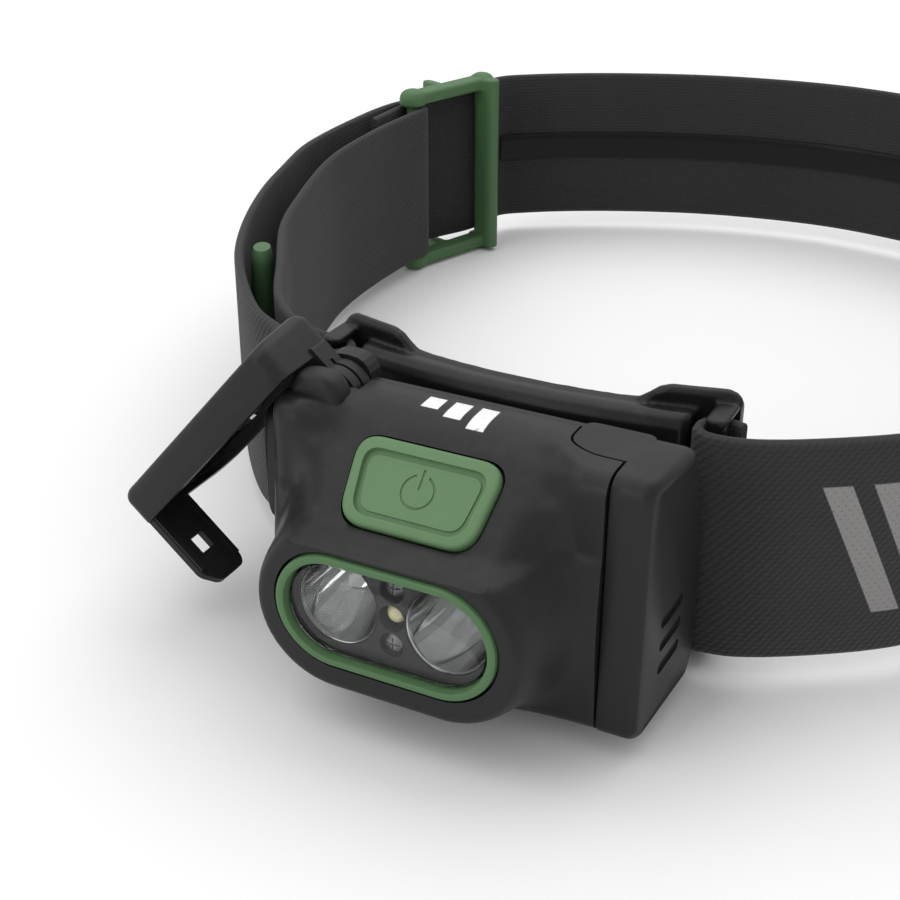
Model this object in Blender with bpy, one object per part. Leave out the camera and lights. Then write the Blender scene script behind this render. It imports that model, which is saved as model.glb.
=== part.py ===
"""Headlamp for camping: a lamp housing on a forehead bracket, with an elastic head strap.

The lamp faces -Y, the wearer's head is towards +Y, and +Z is up.
The strap's lower edge is at z = 0. The battery door stands open, as it does for a change of cells.
Lengths in this file are in millimetres and become metres when a mesh is made.
"""

import math

import bmesh
import bpy
from mathutils import Matrix, Vector

MM = 0.001

# Driving dimensions
STRAP_WIDTH = 30.0
STRAP_THICK = 1.4
CORE_HALF = 21.5
END_HALF = 28.0
TOP = 33.0
BOTTOM = -0.5
FRONT = -27.4
SNOUT_FRONT = -38.0
SNOUT_Z = 13.4
SNOUT_HALF = (16.0, 9.0)
LENS_Z = 14.1
LENS_X = 6.75
CELL_RADIUS = 5.1
CELL_LENGTH = 44.5
CELLS = ((-16.0, 6.2), (-18.0, 16.7))
BORE_RADIUS = 5.4
DOOR_AXIS = (-17.0, 31.0)
DOOR_OPEN = 41.0
TILT_AXIS = (-7.2, 2.2)
BUTTON_CENTRE = (0.0, -29.0, 27.15)
SLOPE = math.radians(43.3)
CURVE = 170.0
POST = (26.2, -4.0)
POST_RADIUS = 1.2
GAP = 0.3

for old in list(bpy.data.objects):
    bpy.data.objects.remove(old, do_unlink=True)


def paint(name, colour, roughness, metallic=0.0, alpha=1.0):
    material = bpy.data.materials.new(name)
    material.use_nodes = True
    shader = material.node_tree.nodes["Principled BSDF"]
    shader.inputs["Base Color"].default_value = (*colour, 1.0)
    shader.inputs["Roughness"].default_value = roughness
    shader.inputs["Metallic"].default_value = metallic
    shader.inputs["Alpha"].default_value = alpha
    return material


BODY = (0.035, 0.035, 0.036)
GREEN = (0.13, 0.25, 0.13)
WEBBING = (0.03, 0.03, 0.031)


def finish(bm, name, material, parent=None, angle=35.0):
    """Turn a bmesh in millimetres into a smooth-shaded object in metres."""
    bmesh.ops.remove_doubles(bm, verts=bm.verts, dist=1e-5)
    bmesh.ops.recalc_face_normals(bm, faces=bm.faces)
    bmesh.ops.scale(bm, vec=(MM, MM, MM), verts=bm.verts)
    mesh = bpy.data.meshes.new(name)
    bm.to_mesh(mesh)
    bm.free()
    obj = bpy.data.objects.new(name, mesh)
    bpy.context.scene.collection.objects.link(obj)
    if material is not None:
        mesh.materials.append(material)
    mesh.shade_smooth()
    mesh.set_sharp_from_angle(angle=math.radians(angle))
    obj.parent = parent
    return obj


def combine(obj, others, operation, angle=35.0):
    """Join or cut an object with others, then drop them."""
    for other in others:
        step = obj.modifiers.new(operation.title(), "BOOLEAN")
        step.operation = operation
        step.solver = "EXACT"
        step.object = other
    bpy.context.view_layer.update()
    graph = bpy.context.evaluated_depsgraph_get()
    result = bpy.data.meshes.new_from_object(obj.evaluated_get(graph))
    result.name = obj.name
    obj.modifiers.clear()
    obj.data = result
    for other in others:
        bpy.data.objects.remove(other, do_unlink=True)
    bm = bmesh.new()
    bm.from_mesh(result)
    bmesh.ops.remove_doubles(bm, verts=bm.verts, dist=1e-6)
    bmesh.ops.dissolve_degenerate(bm, dist=1e-6, edges=bm.edges)
    bmesh.ops.dissolve_limit(
        bm, angle_limit=math.radians(0.5), verts=bm.verts, edges=bm.edges
    )
    bmesh.ops.triangulate(bm, faces=[face for face in bm.faces if len(face.verts) > 4])
    bm.to_mesh(result)
    bm.free()
    result.shade_smooth()
    result.set_sharp_from_angle(angle=math.radians(angle))
    return obj


def loft(name, rings, material, parent=None, closed=False, angle=35.0):
    """Skin a row of point rings. The row's ends are capped unless it runs round into itself."""
    bm = bmesh.new()
    rows = [[bm.verts.new(point) for point in ring] for ring in rings]
    count = len(rows[0])
    last = len(rows) if closed else len(rows) - 1
    for index in range(last):
        here = rows[index]
        there = rows[(index + 1) % len(rows)]
        for side in range(count):
            turn = (side + 1) % count
            bm.faces.new((here[side], here[turn], there[turn], there[side]))
    if not closed:
        bm.faces.new(rows[0])
        bm.faces.new(rows[-1])
    return finish(bm, name, material, parent, angle)


def prism(name, outline, axis, low, high, material=None, parent=None, bevel=0.0):
    """Extrude a flat outline along X, Y or Z."""

    def place(point, level):
        if axis == "X":
            return (level, point[0], point[1])
        if axis == "Y":
            return (point[0], level, point[1])
        return (point[0], point[1], level)

    bm = bmesh.new()
    bottom = [bm.verts.new(place(point, low)) for point in outline]
    top = [bm.verts.new(place(point, high)) for point in outline]
    bm.faces.new(bottom)
    bm.faces.new(top)
    for index in range(len(outline)):
        turn = (index + 1) % len(outline)
        bm.faces.new((bottom[index], bottom[turn], top[turn], top[index]))
    bmesh.ops.recalc_face_normals(bm, faces=bm.faces)
    if bevel > 0.0:
        bmesh.ops.bevel(
            bm,
            geom=[edge for edge in bm.edges if edge.calc_face_angle(0.0) > 0.6],
            offset=bevel,
            segments=2,
            profile=0.5,
            affect="EDGES",
            material=-1,
        )
    return finish(bm, name, material, parent)


def box(name, low, high, material=None, parent=None, bevel=0.0):
    outline = ((low[0], low[1]), (high[0], low[1]), (high[0], high[1]), (low[0], high[1]))
    return prism(name, outline, "Z", low[2], high[2], material, parent, bevel)


def circle(centre, radius, count=24, start=0.0):
    return [
        (
            centre[0] + radius * math.cos(start + 2 * math.pi * step / count),
            centre[1] + radius * math.sin(start + 2 * math.pi * step / count),
        )
        for step in range(count)
    ]


def stadium(centre, half_width, half_height, count=12):
    """Outline with straight top and bottom and round ends."""
    points = []
    run = half_width - half_height
    for side in (1, -1):
        for step in range(count + 1):
            angle = -math.pi / 2 + math.pi * step / count
            points.append(
                (
                    centre[0] + side * (run + half_height * math.cos(angle)),
                    centre[1] + side * half_height * math.sin(angle),
                )
            )
    return points


def rounded(corners, radius, count=4):
    """Round every corner of a convex or concave outline."""
    points = []
    size = len(corners)
    for index in range(size):
        before = Vector(corners[index - 1])
        here = Vector(corners[index])
        after = Vector(corners[(index + 1) % size])
        reach = min(radius, (before - here).length * 0.48, (after - here).length * 0.48)
        start = here + (before - here).normalized() * reach
        end = here + (after - here).normalized() * reach
        for step in range(count + 1):
            t = step / count
            point = start * (1 - t) ** 2 + here * 2 * t * (1 - t) + end * t**2
            points.append((point.x, point.y))
    return points


def turned(name, profile, axis, centre, material=None, parent=None, steps=20, angle=35.0):
    """Turn (radius, height) points round an axis; a closed profile is a ring, an open one is capped."""
    bm = bmesh.new()
    rings = []
    for radius, height in profile:
        if radius < 1e-6:
            rings.append([bm.verts.new((0, 0, height))])
            continue
        rings.append(
            [
                bm.verts.new((point[0], point[1], height))
                for point in circle((0, 0), radius, steps)
            ]
        )
    pairs = list(zip(rings, rings[1:]))
    if len(rings[0]) > 1:
        pairs.append((rings[-1], rings[0]))
    for lower, upper in pairs:
        for step in range(steps):
            turn = (step + 1) % steps
            face = [lower[step % len(lower)], lower[turn % len(lower)]]
            face += [upper[turn % len(upper)], upper[step % len(upper)]]
            unique = list(dict.fromkeys(face))
            if len(unique) > 2:
                bm.faces.new(unique)
    if axis == "X":
        bm.transform(Matrix.Rotation(math.radians(90), 4, "Y"))
    if axis == "Y":
        bm.transform(Matrix.Rotation(math.radians(-90), 4, "X"))
    bm.transform(Matrix.Translation(centre))
    return finish(bm, name, material, parent, angle)


def rod(name, radius, low, high, axis, centre, material=None, parent=None, steps=16):
    profile = ((0.0, low), (radius, low), (radius, high), (0.0, high))
    return turned(name, profile, axis, centre, material, parent, steps)


def pivot(name, location, parent=None, turn=0.0):
    empty = bpy.data.objects.new(name, None)
    empty.empty_display_size = 0.01
    empty.location = Vector(location) * MM
    empty.rotation_euler = (0.0, math.radians(turn), 0.0)
    empty.parent = parent
    bpy.context.scene.collection.objects.link(empty)
    return empty


def smooth(value):
    value = min(max(value, 0.0), 1.0)
    return value * value * (3 - 2 * value)


def edge_round(distance, radius):
    """How far a rounded edge falls back at a distance from the edge."""
    if distance >= radius:
        return 0.0
    return radius - math.sqrt(max(radius**2 - (radius - distance) ** 2, 0.0))


def front_at(x, z):
    """The front surface of the housing: a flat box front, a sloped button face and the lens snout."""
    plain = FRONT + edge_round(TOP - z, 2.6) + edge_round(z - BOTTOM, 2.2)
    plain += edge_round(x + CORE_HALF, 2.4)
    slope = max(-24.7 - (31.2 - z) * 1.061, -34.8)
    share = (1 - smooth((abs(x) - 11.0) / 7.5)) * smooth((z - 9.0) / 11.0)
    y = plain + share * (slope - plain)
    run = SNOUT_HALF[0] - SNOUT_HALF[1]
    away = math.hypot(max(abs(x) - run, 0.0), z - SNOUT_Z) - SNOUT_HALF[1]
    snout = 1.0 / (1.0 + (max(away, 0.0) / 2.4) ** 3)
    if z > 22.0:
        snout *= 1 - smooth((z - 22.0) / 1.4)
    return y + snout * (min(SNOUT_FRONT, y) - y) if y > SNOUT_FRONT else y


def steps(first, last, count):
    return [first + (last - first) * index / (count - 1) for index in range(count)]


# The frames that move: the housing tilts, the door swings and the button slides.
tilt_pivot = pivot("tilt_pivot", (0.0, TILT_AXIS[0], TILT_AXIS[1]))
lamp = pivot("lamp_frame", (0.0, -TILT_AXIS[0], -TILT_AXIS[1]), tilt_pivot)
door_pivot = pivot("door_pivot", (DOOR_AXIS[0], -16.0, DOOR_AXIS[1]), lamp, DOOR_OPEN)
door = pivot("door_frame", (-DOOR_AXIS[0], 16.0, -DOOR_AXIS[1]), door_pivot)
button_pivot = pivot("button_pivot", BUTTON_CENTRE, lamp)
button_frame = bpy.data.objects.new("button_frame", None)
button_frame.rotation_euler = (SLOPE, 0.0, 0.0)
button_frame.parent = button_pivot
bpy.context.scene.collection.objects.link(button_frame)


# Housing: front shell
heights = steps(TOP, TOP - 2.6, 5)[:-1] + steps(TOP - 2.6, 24.2, 5)[:-1]
heights += steps(24.2, 18.2, 10)[:-1] + steps(18.2, 8.6, 7)[:-1]
heights += steps(8.6, 1.7, 10)[:-1] + steps(1.7, BOTTOM, 5)
stations = [-21.5, -21.3, -20.8, -20.1, -19.2, -18.4, -17.6, -16.8, -16.1, -15.4, -14.6, -13.6, -12.5]
stations += [-11.2, -9.6, -7.6, -5.2, -2.6]
stations += [0.0] + [-x for x in reversed(stations)]
back = [(-10.8, BOTTOM), (-9.9, 0.5), (-9.9, 10.3), (-15.0, 30.6), (-15.9, TOP - 0.6), (-16.8, TOP)]
rings = []
for x in stations:
    brow = [(front_at(x, z), z) for z in heights]
    ring = brow + back
    rings.append([(x, y, z) for y, z in ring])
front_shell = loft("front_shell", rings, paint("shell_black", BODY, 0.42), lamp, angle=40.0)
collar_outline = rounded(((-24.2, 12.8), (-23.8, 29.8), (-17.6, 29.8), (-12.4, 12.8)), 5.0, 6)
collar = prism("collar", collar_outline, "X", -24.6, -20.5, None, lamp, 0.6)
combine(front_shell, [collar], "UNION", 40)
bores = [
    rod("bore", BORE_RADIUS, -25.0, 25.0, "X", (0, y, z), None, lamp, 24) for y, z in CELLS
]
pocket = prism("pocket", stadium((0, LENS_Z), 14.4, 7.65), "Y", -45.0, -36.0, None, lamp)
well = prism("well", stadium((0, LENS_Z), 13.7, 6.75), "Y", -40.0, -26.1, None, lamp)
button_outline = rounded(((-9.4, 4.95), (-8.3, -5.9), (8.3, -5.9), (9.4, 4.95)), 3.2, 5)
seat_outline = rounded(((-9.75, 5.25), (-8.6, -6.2), (8.6, -6.2), (9.75, 5.25)), 3.4, 5)
seat = prism("seat", seat_outline, "Z", -2.5, 6.0, None, button_frame)
switch_hole = rod("switch_hole", 3.1, -4.5, 0.0, "Z", (0, 0, 0), None, button_frame, 20)
notch = box("notch", (-24.0, -19.9, 27.0), (-13.0, -11.8, 40.0), None, lamp)
tongue_bed = box("tongue_bed", (-24.0, -26.6, -3.0), (-9.6, -18.4, 0.75), None, lamp)
combine(front_shell, bores + [pocket, well, seat, switch_hole, notch, tongue_bed], "DIFFERENCE", 40)
knuckle_profile = rounded(((-20.9, 27.0), (-20.6, 35.6), (-13.5, 35.6), (-13.0, 27.0)), 3.5, 5)
knuckle = prism("knuckle", knuckle_profile, "Y", -24.2, -20.2, None, lamp, 0.9)
nub = box("nub", (-16.4, -23.2, 0.5), (-14.8, -21.6, 1.5), None, lamp)
combine(front_shell, [knuckle, nub], "UNION", 40)
pin_hole = rod("pin_hole", 1.05, -23.0, -10.0, "Y", (DOOR_AXIS[0], 0, DOOR_AXIS[1]), None, lamp)
lip_room = rounded(
    ((14.0, -11.0), (14.0, -20.6), (17.6, -22.6), (26.0, -22.6), (26.0, -11.0)), 1.4
)
cap_lip = prism("cap_lip", lip_room, "Z", 32.0, 36.0, None, lamp)
swing_outline = ((-22.0, 31.9), (-21.3, 31.9), (-20.7, 32.9), (-20.7, 34.0), (-22.0, 34.0))
swing_room = prism("swing_room", swing_outline, "Y", -30.0, -18.4, None, lamp)
combine(front_shell, [pin_hole, cap_lip, swing_room], "DIFFERENCE", 40)

# Housing: back cover with the knuckle it tilts on
cover = ((-9.6, 0.5), (-8.4, 1.9), (-8.4, 10.0), (-13.6, 30.4), (-14.5, 32.2), (-15.3, 32.2))
cover += ((-14.7, 30.6), (-9.6, 10.3))
rear_cover = prism("rear_cover", cover, "X", -21.4, 21.4, paint("cover_black", BODY, 0.5), lamp)
barrel = rod("barrel", 2.0, -12.6, 12.6, "X", (0, *TILT_AXIS), None, lamp)
arm = box("arm", (-12.6, -9.0, 2.2), (12.6, -6.0, 4.2), None, lamp)
rear_profile = rounded(((-20.4, 29.0), (-20.2, 35.0), (-13.8, 35.0), (-13.5, 29.0)), 3.2, 5)
rear_knuckle = prism("rear_knuckle", rear_profile, "Y", -15.8, -13.4, None, lamp)
combine(rear_cover, [barrel, arm, rear_knuckle], "UNION")
pin_end = rod("pin_end", 1.05, -18.0, -14.2, "Y", (DOOR_AXIS[0], 0, DOOR_AXIS[1]), None, lamp)
tilt_hole = rod("tilt_hole", 1.05, -30.0, 30.0, "X", (0, *TILT_AXIS), None, lamp)
combine(rear_cover, [tilt_hole, pin_end], "DIFFERENCE")


def end_section(inset=0.0, drop=0.0):
    """Side outline of an end cap, pulled in by an inset."""
    corners = (
        (-10.6 - inset, BOTTOM + inset),
        (-8.4 - inset, 1.8 + inset * 0.6),
        (-8.4 - inset, 10.2),
        (-14.6 - inset, TOP - drop - inset),
        (FRONT + 0.6 + inset, TOP - drop - inset),
        (FRONT + inset, BOTTOM + inset + 1.0),
        (FRONT + 1.0 + inset, BOTTOM + inset),
    )
    return rounded(corners, 2.4 - 0.8 * inset, 3)


def end_cap(name, side, material, parent):
    """A hollow end cap whose rim meets the housing and whose back is narrower than its front."""
    outline = end_section()
    middle = Vector((-18.5, 16.0))
    rings = []
    for reach, shrink in ((CORE_HALF + GAP, 1.0), (25.2, 1.0), (27.0, 0.985), (END_HALF, 0.93)):
        ring = []
        for y, z in outline:
            point = middle + (Vector((y, z)) - middle) * shrink
            taper = max(0.0, point.x + 20.0) * 0.2 * (reach - CORE_HALF) / 6.5
            ring.append((side * (reach - taper), point.x, point.y))
        rings.append(ring)
    cap = loft(name, rings, material, parent)
    hollow = prism("hollow", end_section(1.5), "X", side * 15.0, side * 25.7, None, parent)
    return combine(cap, [hollow], "DIFFERENCE")


right_cap = end_cap("right_cap", 1, paint("cap_black", BODY, 0.45), lamp)
lip_outline = rounded(
    ((14.3, -17.2), (14.3, -20.4), (17.7, -22.3), (23.0, -22.3), (23.0, -17.2)), 1.2
)
cap_tab = prism("cap_tab", lip_outline, "Z", 32.3, 33.2, None, lamp)
combine(right_cap, [cap_tab], "UNION")

battery_door = end_cap("battery_door", -1, paint("door_black", BODY, 0.45), door)
door_arm = box("door_arm", (-23.0, -19.4, 30.9), (-17.0, -16.3, 33.4), None, door)
hinge_place = (DOOR_AXIS[0], 0, DOOR_AXIS[1])
door_barrel = rod("door_barrel", 3.6, -19.6, -16.1, "Y", hinge_place, None, door)
tongue_corners = ((-26.0, -26.2), (-12.2, -26.2), (-10.0, -24.2))
tongue_corners += ((-10.0, -19.6), (-11.0, -18.8), (-26.0, -18.8))
tongue_outline = rounded(tongue_corners, 0.8)
tongue = prism("tongue", tongue_outline, "Z", -0.6, 0.35, None, door)
combine(battery_door, [door_arm, door_barrel, tongue], "UNION")
door_hole = rod("door_hole", 1.05, -30.0, 0.0, "Y", (DOOR_AXIS[0], 0, DOOR_AXIS[1]), None, door)
latch_window = box("latch_window", (-16.8, -23.6, -3.0), (-14.4, -21.2, 3.0), None, door)
combine(battery_door, [door_hole, latch_window], "DIFFERENCE")

steel = paint("pin_steel", (0.5, 0.5, 0.5), 0.3, 1.0)
rod("door_pin", 0.75, -22.6, -14.6, "Y", (DOOR_AXIS[0], 0, DOOR_AXIS[1]), steel, lamp)
rod("tilt_pin", 0.75, -16.6, 16.6, "X", (0, *TILT_AXIS), steel, None)

# Sealing ring inside the door's rim
outer_seal = end_section(1.8)
inner_seal = end_section(2.6)
seal_paint = paint("seal_rubber", (0.02, 0.02, 0.02), 0.8)
seal = prism("door_seal", outer_seal, "X", -23.4, -22.6, seal_paint, door)
seal_hole = prism("seal_hole", inner_seal, "X", -24.0, -19.0, None, door)
combine(seal, [seal_hole], "DIFFERENCE")
seal_gap = box("seal_gap", (-24.0, -20.4, 26.0), (-20.0, -13.8, 36.0), None, door)
combine(seal, [seal_gap], "DIFFERENCE")

# Cells and their contacts
cell_paint = paint("cell_wrap", (0.35, 0.37, 0.36), 0.35, 0.3)
nickel = paint("contact_nickel", (0.62, 0.62, 0.6), 0.25, 1.0)
for number, (y, z) in enumerate(CELLS, 1):
    half = CELL_LENGTH / 2
    way = 1 if number == 1 else -1
    profile = ((0.0, -half), (4.2, -half), (CELL_RADIUS, -half + 0.5), (CELL_RADIUS, half - 1.6))
    profile += ((4.6, half - 1.1), (1.9, half - 1.1), (1.9, half), (0.0, half))
    cell = turned(f"cell_{number}", profile, "X", (0, 0, 0), cell_paint, lamp, 20)
    if way < 0:
        cell.data.transform(Matrix.Rotation(math.pi, 4, "Z"))
    cell.data.transform(Matrix.Translation(Vector((0, y, z)) * MM))


def coil(name, start, end, centre, wide, narrow, material, parent):
    """A conical wire spring along X, drawn as one closed tube."""
    turns, per_turn, sides, wire = 3.0, 12, 6, 0.35
    count = int(turns * per_turn)
    rings = []
    for index in range(count + 1):
        share = index / count
        angle = 2 * math.pi * turns * share
        radius = wide + (narrow - wide) * share
        x = start + (end - start) * share
        out = Vector((0.0, math.cos(angle), math.sin(angle)))
        middle = Vector((x, centre[0], centre[1])) + out * radius
        ring = []
        for side in range(sides):
            turn = 2 * math.pi * side / sides
            ring.append(middle + out * wire * math.cos(turn) + Vector((wire * math.sin(turn), 0, 0)))
        rings.append(ring)
    return loft(name, rings, material, parent, angle=80.0)


door_plate = rounded(((-22.4, 2.4), (-13.8, 2.4), (-13.8, 20.4), (-22.4, 20.4)), 1.5, 3)
prism("door_contact", door_plate, "X", -25.4, -24.9, nickel, door)
coil("door_spring", -24.2, -22.9, CELLS[1], 3.6, 2.0, nickel, door)
for number, (y, z) in enumerate(CELLS, 1):
    corners = ((y - 3.6, z - 3.6), (y + 3.6, z - 3.6), (y + 3.6, z + 3.6), (y - 3.6, z + 3.6))
    plate = rounded(corners, 1.0, 3)
    prism(f"cap_contact_{number}", plate, "X", 24.9, 25.4, nickel, lamp)
coil("cap_spring", 24.2, 22.9, CELLS[1], 3.4, 2.0, nickel, lamp)

# Power button and its switch
green = paint("trim_green", GREEN, 0.5)
button = prism("power_button", button_outline, "Z", -1.7, 0.75, green, button_frame, 0.3)
panel = rounded(((-7.5, 3.1), (-6.6, -4.1), (6.6, -4.1), (7.5, 3.1)), 1.9, 4)
panel_cut = prism("panel_cut", panel, "Z", 0.35, 3.0, None, button_frame)
combine(button, [panel_cut], "DIFFERENCE")
rod("button_switch", 2.7, -4.2, -2.3, "Z", (0, 0, 0), paint("switch", (0.1, 0.1, 0.1), 0.6), button_frame)
switch = bpy.data.objects["button_switch"]
switch.parent = None
switch.data.transform(Matrix.Rotation(SLOPE, 4, "X"))
switch.data.transform(Matrix.Translation(Vector(BUTTON_CENTRE) * MM))
switch.parent = lamp

# Lens group
bezel = prism("lens_bezel", stadium((0, LENS_Z), 14.1, 7.35), "Y", -38.4, -36.3, green, lamp, 0.35)
bezel_hole = prism("bezel_hole", stadium((0, LENS_Z), 12.9, 6.25), "Y", -45.0, -30.0, None, lamp)
combine(bezel, [bezel_hole], "DIFFERENCE")
glass = paint("window_clear", (0.9, 0.92, 0.92), 0.05, 0.0, 0.25)
prism("lens_window", stadium((0, LENS_Z), 12.6, 5.95), "Y", -37.6, -36.8, glass, lamp)
carrier_paint = paint("carrier_black", (0.02, 0.02, 0.02), 0.35)
carrier = prism("lens_carrier", stadium((0, LENS_Z), 13.4, 6.45), "Y", -35.9, -28.2, carrier_paint, lamp)
holes = []
bowl = ((0.0, -40.0), (5.05, -40.0), (5.05, -35.2), (2.6, -29.4), (2.6, -20.0), (0.0, -20.0))
for side in (-1, 1):
    holes.append(turned("bowl", bowl, "Y", (side * LENS_X, 0, LENS_Z), None, lamp, 20))
holes.append(rod("lamp_hole", 1.6, -40.0, -20.0, "Y", (0, 0, LENS_Z), None, lamp, 14))
screw_hole = ((0.0, -40.0), (1.5, -40.0), (1.5, -34.8), (0.9, -34.8), (0.9, -20.0), (0.0, -20.0))
for z in (LENS_Z - 3.4, LENS_Z + 3.4):
    holes.append(turned("screw_hole", screw_hole, "Y", (0, 0, z), None, lamp, 14))
combine(carrier, holes, "DIFFERENCE")
chrome = paint("reflector_chrome", (0.85, 0.85, 0.85), 0.08, 1.0)
led_paint = paint("led_yellow", (0.9, 0.85, 0.5), 0.3)
bowl_skin = ((4.85, -35.7), (4.45, -35.7), (3.5, -32.6), (1.6, -29.9), (2.1, -29.9), (3.9, -32.6))
for side, word in ((-1, "left"), (1, "right")):
    centre = (side * LENS_X, 0, LENS_Z)
    turned(f"reflector_{word}", bowl_skin, "Y", centre, chrome, lamp, 24, 60)
    dome = ((0.0, -31.1), (0.55, -30.9), (0.95, -30.3), (1.05, -28.4))
    dome += ((1.2, -28.4), (1.2, -27.9), (0.0, -27.9))
    turned(f"led_{word}", dome, "Y", centre, led_paint, lamp, 12, 60)
small = ((0.0, -35.5), (0.8, -35.2), (1.2, -34.6), (1.25, -28.0), (0.0, -28.0))
turned("led_centre", small, "Y", (0, 0, LENS_Z), led_paint, lamp, 14, 60)
screw_profile = ((0.0, -35.6), (1.0, -35.55), (1.25, -35.3), (1.25, -35.1))
screw_profile += ((0.6, -35.1), (0.6, -28.5), (0.0, -28.5))
for z, word in ((LENS_Z - 3.4, "lower"), (LENS_Z + 3.4, "upper")):
    turned(f"lens_screw_{word}", screw_profile, "Y", (0, 0, z), steel, lamp, 12)
board_paint = paint("board_green", (0.02, 0.12, 0.05), 0.5)
prism("circuit_board", stadium((0, LENS_Z), 13.3, 6.35), "Y", -27.6, -26.4, board_paint, lamp)


# Bracket that carries the housing on the forehead
def bow(x):
    """How far the bracket curves back at x."""
    return x * x / CURVE


def ear(x):
    """Extra height of the bracket's plate near its ends."""
    rise = smooth((abs(x) - 14.6) / 4.2)
    return 2.3 * rise - edge_round(27.4 - abs(x), 2.2)


bracket_paint = paint("bracket_black", BODY, 0.4)
plate_rings = []
side_stations = [27.38, 27.1, 26.6, 25.6, 24.0, 21.5, 19.0, 17.6, 16.4, 15.2, 13.0, 8.8, 4.4]
for x in [-x for x in side_stations] + [0.0] + list(reversed(side_stations)):
    top = 30.2 + ear(x)
    low = -0.2 - ear(x)
    rear = -2.0 + bow(x)
    fore = rear - 1.8
    plate_rings.append(
        [
            (x, fore, low + 0.5),
            (x, fore + 0.5, low),
            (x, rear - 0.4, low),
            (x, rear, low + 0.4),
            (x, rear, top - 0.4),
            (x, rear - 0.4, top),
            (x, fore + 0.5, top),
            (x, fore, top - 0.5),
        ]
    )
bracket = loft("bracket", plate_rings, bracket_paint)
beam_rings = []
for x in [-22.6, -21.8, -18.0, -12.0, -6.0, 0.0, 6.0, 12.0, 18.0, 21.8, 22.6]:
    pinch = 0.8 if abs(x) > 22 else 0.0
    fore = -7.1 + bow(x) * 0.75 + pinch
    rear = -3.0 + bow(x)
    beam = [(fore, 6.4), (fore + 1.0, 5.4), (rear, 5.4), (rear, 30.0), (fore + 1.8, 30.4 - pinch * 0.4)]
    beam += [(fore + 0.7, 30.0 - pinch * 0.4), (fore, 28.8 - pinch * 0.4)]
    beam_rings.append([(x, y, z) for y, z in beam])
beam = loft("beam", beam_rings, None)
lugs = []
for side in (-1, 1):
    for low, high in ((STRAP_WIDTH + GAP, 31.2), (-1.2, -GAP)):
        outline = rounded(
            ((side * 24.7, 1.0), (side * 24.7, -5.3), (side * 27.5, -5.3), (side * 27.3, 1.0)), 0.9, 3
        )
        lugs.append(prism("lug", outline, "Z", low, high))
    lugs.append(rod("post", POST_RADIUS, -1.2, 31.0, "Z", (side * POST[0], POST[1], 0), None, None, 14))
    outline = rounded(((-9.1, 0.2), (-9.1, 4.2), (-1.6, 4.2), (-1.6, 0.2)), 1.9, 4)
    lugs.append(prism("tilt_lug", outline, "X", side * 13.0, side * 16.8))
combine(bracket, [beam] + lugs, "UNION")
bore = rod("bore", 1.05, -30.0, 30.0, "X", (0, *TILT_AXIS))
combine(bracket, [bore], "DIFFERENCE")
relief = [
    prism("relief", circle(TILT_AXIS, 2.5, 24), "X", side * 12.7, side * 17.1, None, lamp)
    for side in (-1, 1)
]
combine(rear_cover, relief, "DIFFERENCE")
relief = [
    prism("relief", circle(TILT_AXIS, 2.75, 24), "X", side * 12.7, side * 17.1, None, lamp)
    for side in (-1, 1)
]
combine(front_shell, relief, "DIFFERENCE", 40)

pad_rings = []
for x in steps(-24.0, 24.0, 17):
    inset = edge_round(24.0 - abs(x), 3.0)
    fore = -2.0 + bow(x) + GAP
    pad_rings.append(
        [
            (x, fore, 2.0 + inset),
            (x, fore + 1.8, 2.0 + inset),
            (x, fore + 2.6, 3.0 + inset),
            (x, fore + 2.6, 27.0 - inset),
            (x, fore + 1.8, 28.0 - inset),
            (x, fore, 28.0 - inset),
        ]
    )
loft("forehead_pad", pad_rings, paint("pad_foam", (0.02, 0.02, 0.02), 0.9))


# Strap and its fittings
def curve_through(points, spacing):
    """Points at an even spacing on a smooth curve through the given ones."""
    rows = [Vector(point) for point in points]
    rows = [rows[0] * 2 - rows[1]] + rows + [rows[-1] * 2 - rows[-2]]
    fine = []
    for index in range(1, len(rows) - 2):
        a, b, c, d = rows[index - 1 : index + 3]
        knots = [0.0]
        for first, second in ((a, b), (b, c), (c, d)):
            knots.append(knots[-1] + math.sqrt(max((second - first).length, 1e-6)))
        for step in range(24):
            t = knots[1] + (knots[2] - knots[1]) * step / 24
            ab = a.lerp(b, (t - knots[0]) / (knots[1] - knots[0]))
            bc = b.lerp(c, (t - knots[1]) / (knots[2] - knots[1]))
            cd = c.lerp(d, (t - knots[2]) / (knots[3] - knots[2]))
            abc = ab.lerp(bc, (t - knots[0]) / (knots[2] - knots[0]))
            bcd = bc.lerp(cd, (t - knots[1]) / (knots[3] - knots[1]))
            fine.append(abc.lerp(bcd, (t - knots[1]) / (knots[2] - knots[1])))
    fine.append(rows[-2])
    kept = [fine[0]]
    for index in range(1, len(fine) - 1):
        bend = (fine[index] - fine[index - 1]).angle(fine[index + 1] - fine[index], 0.0)
        reach = (fine[index] - kept[-1]).length
        turned_by = (fine[index] - kept[-1]).angle(fine[index + 1] - fine[index], 0.0)
        if reach >= spacing or turned_by > 0.2 or bend > 0.3:
            kept.append(fine[index])
    kept.append(fine[-1])
    return kept


def arc(centre, radius, first, last, count):
    return [
        (
            centre[0] + radius * math.cos(math.radians(angle)),
            centre[1] + radius * math.sin(math.radians(angle)),
        )
        for angle in steps(first, last, count)
    ]


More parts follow.
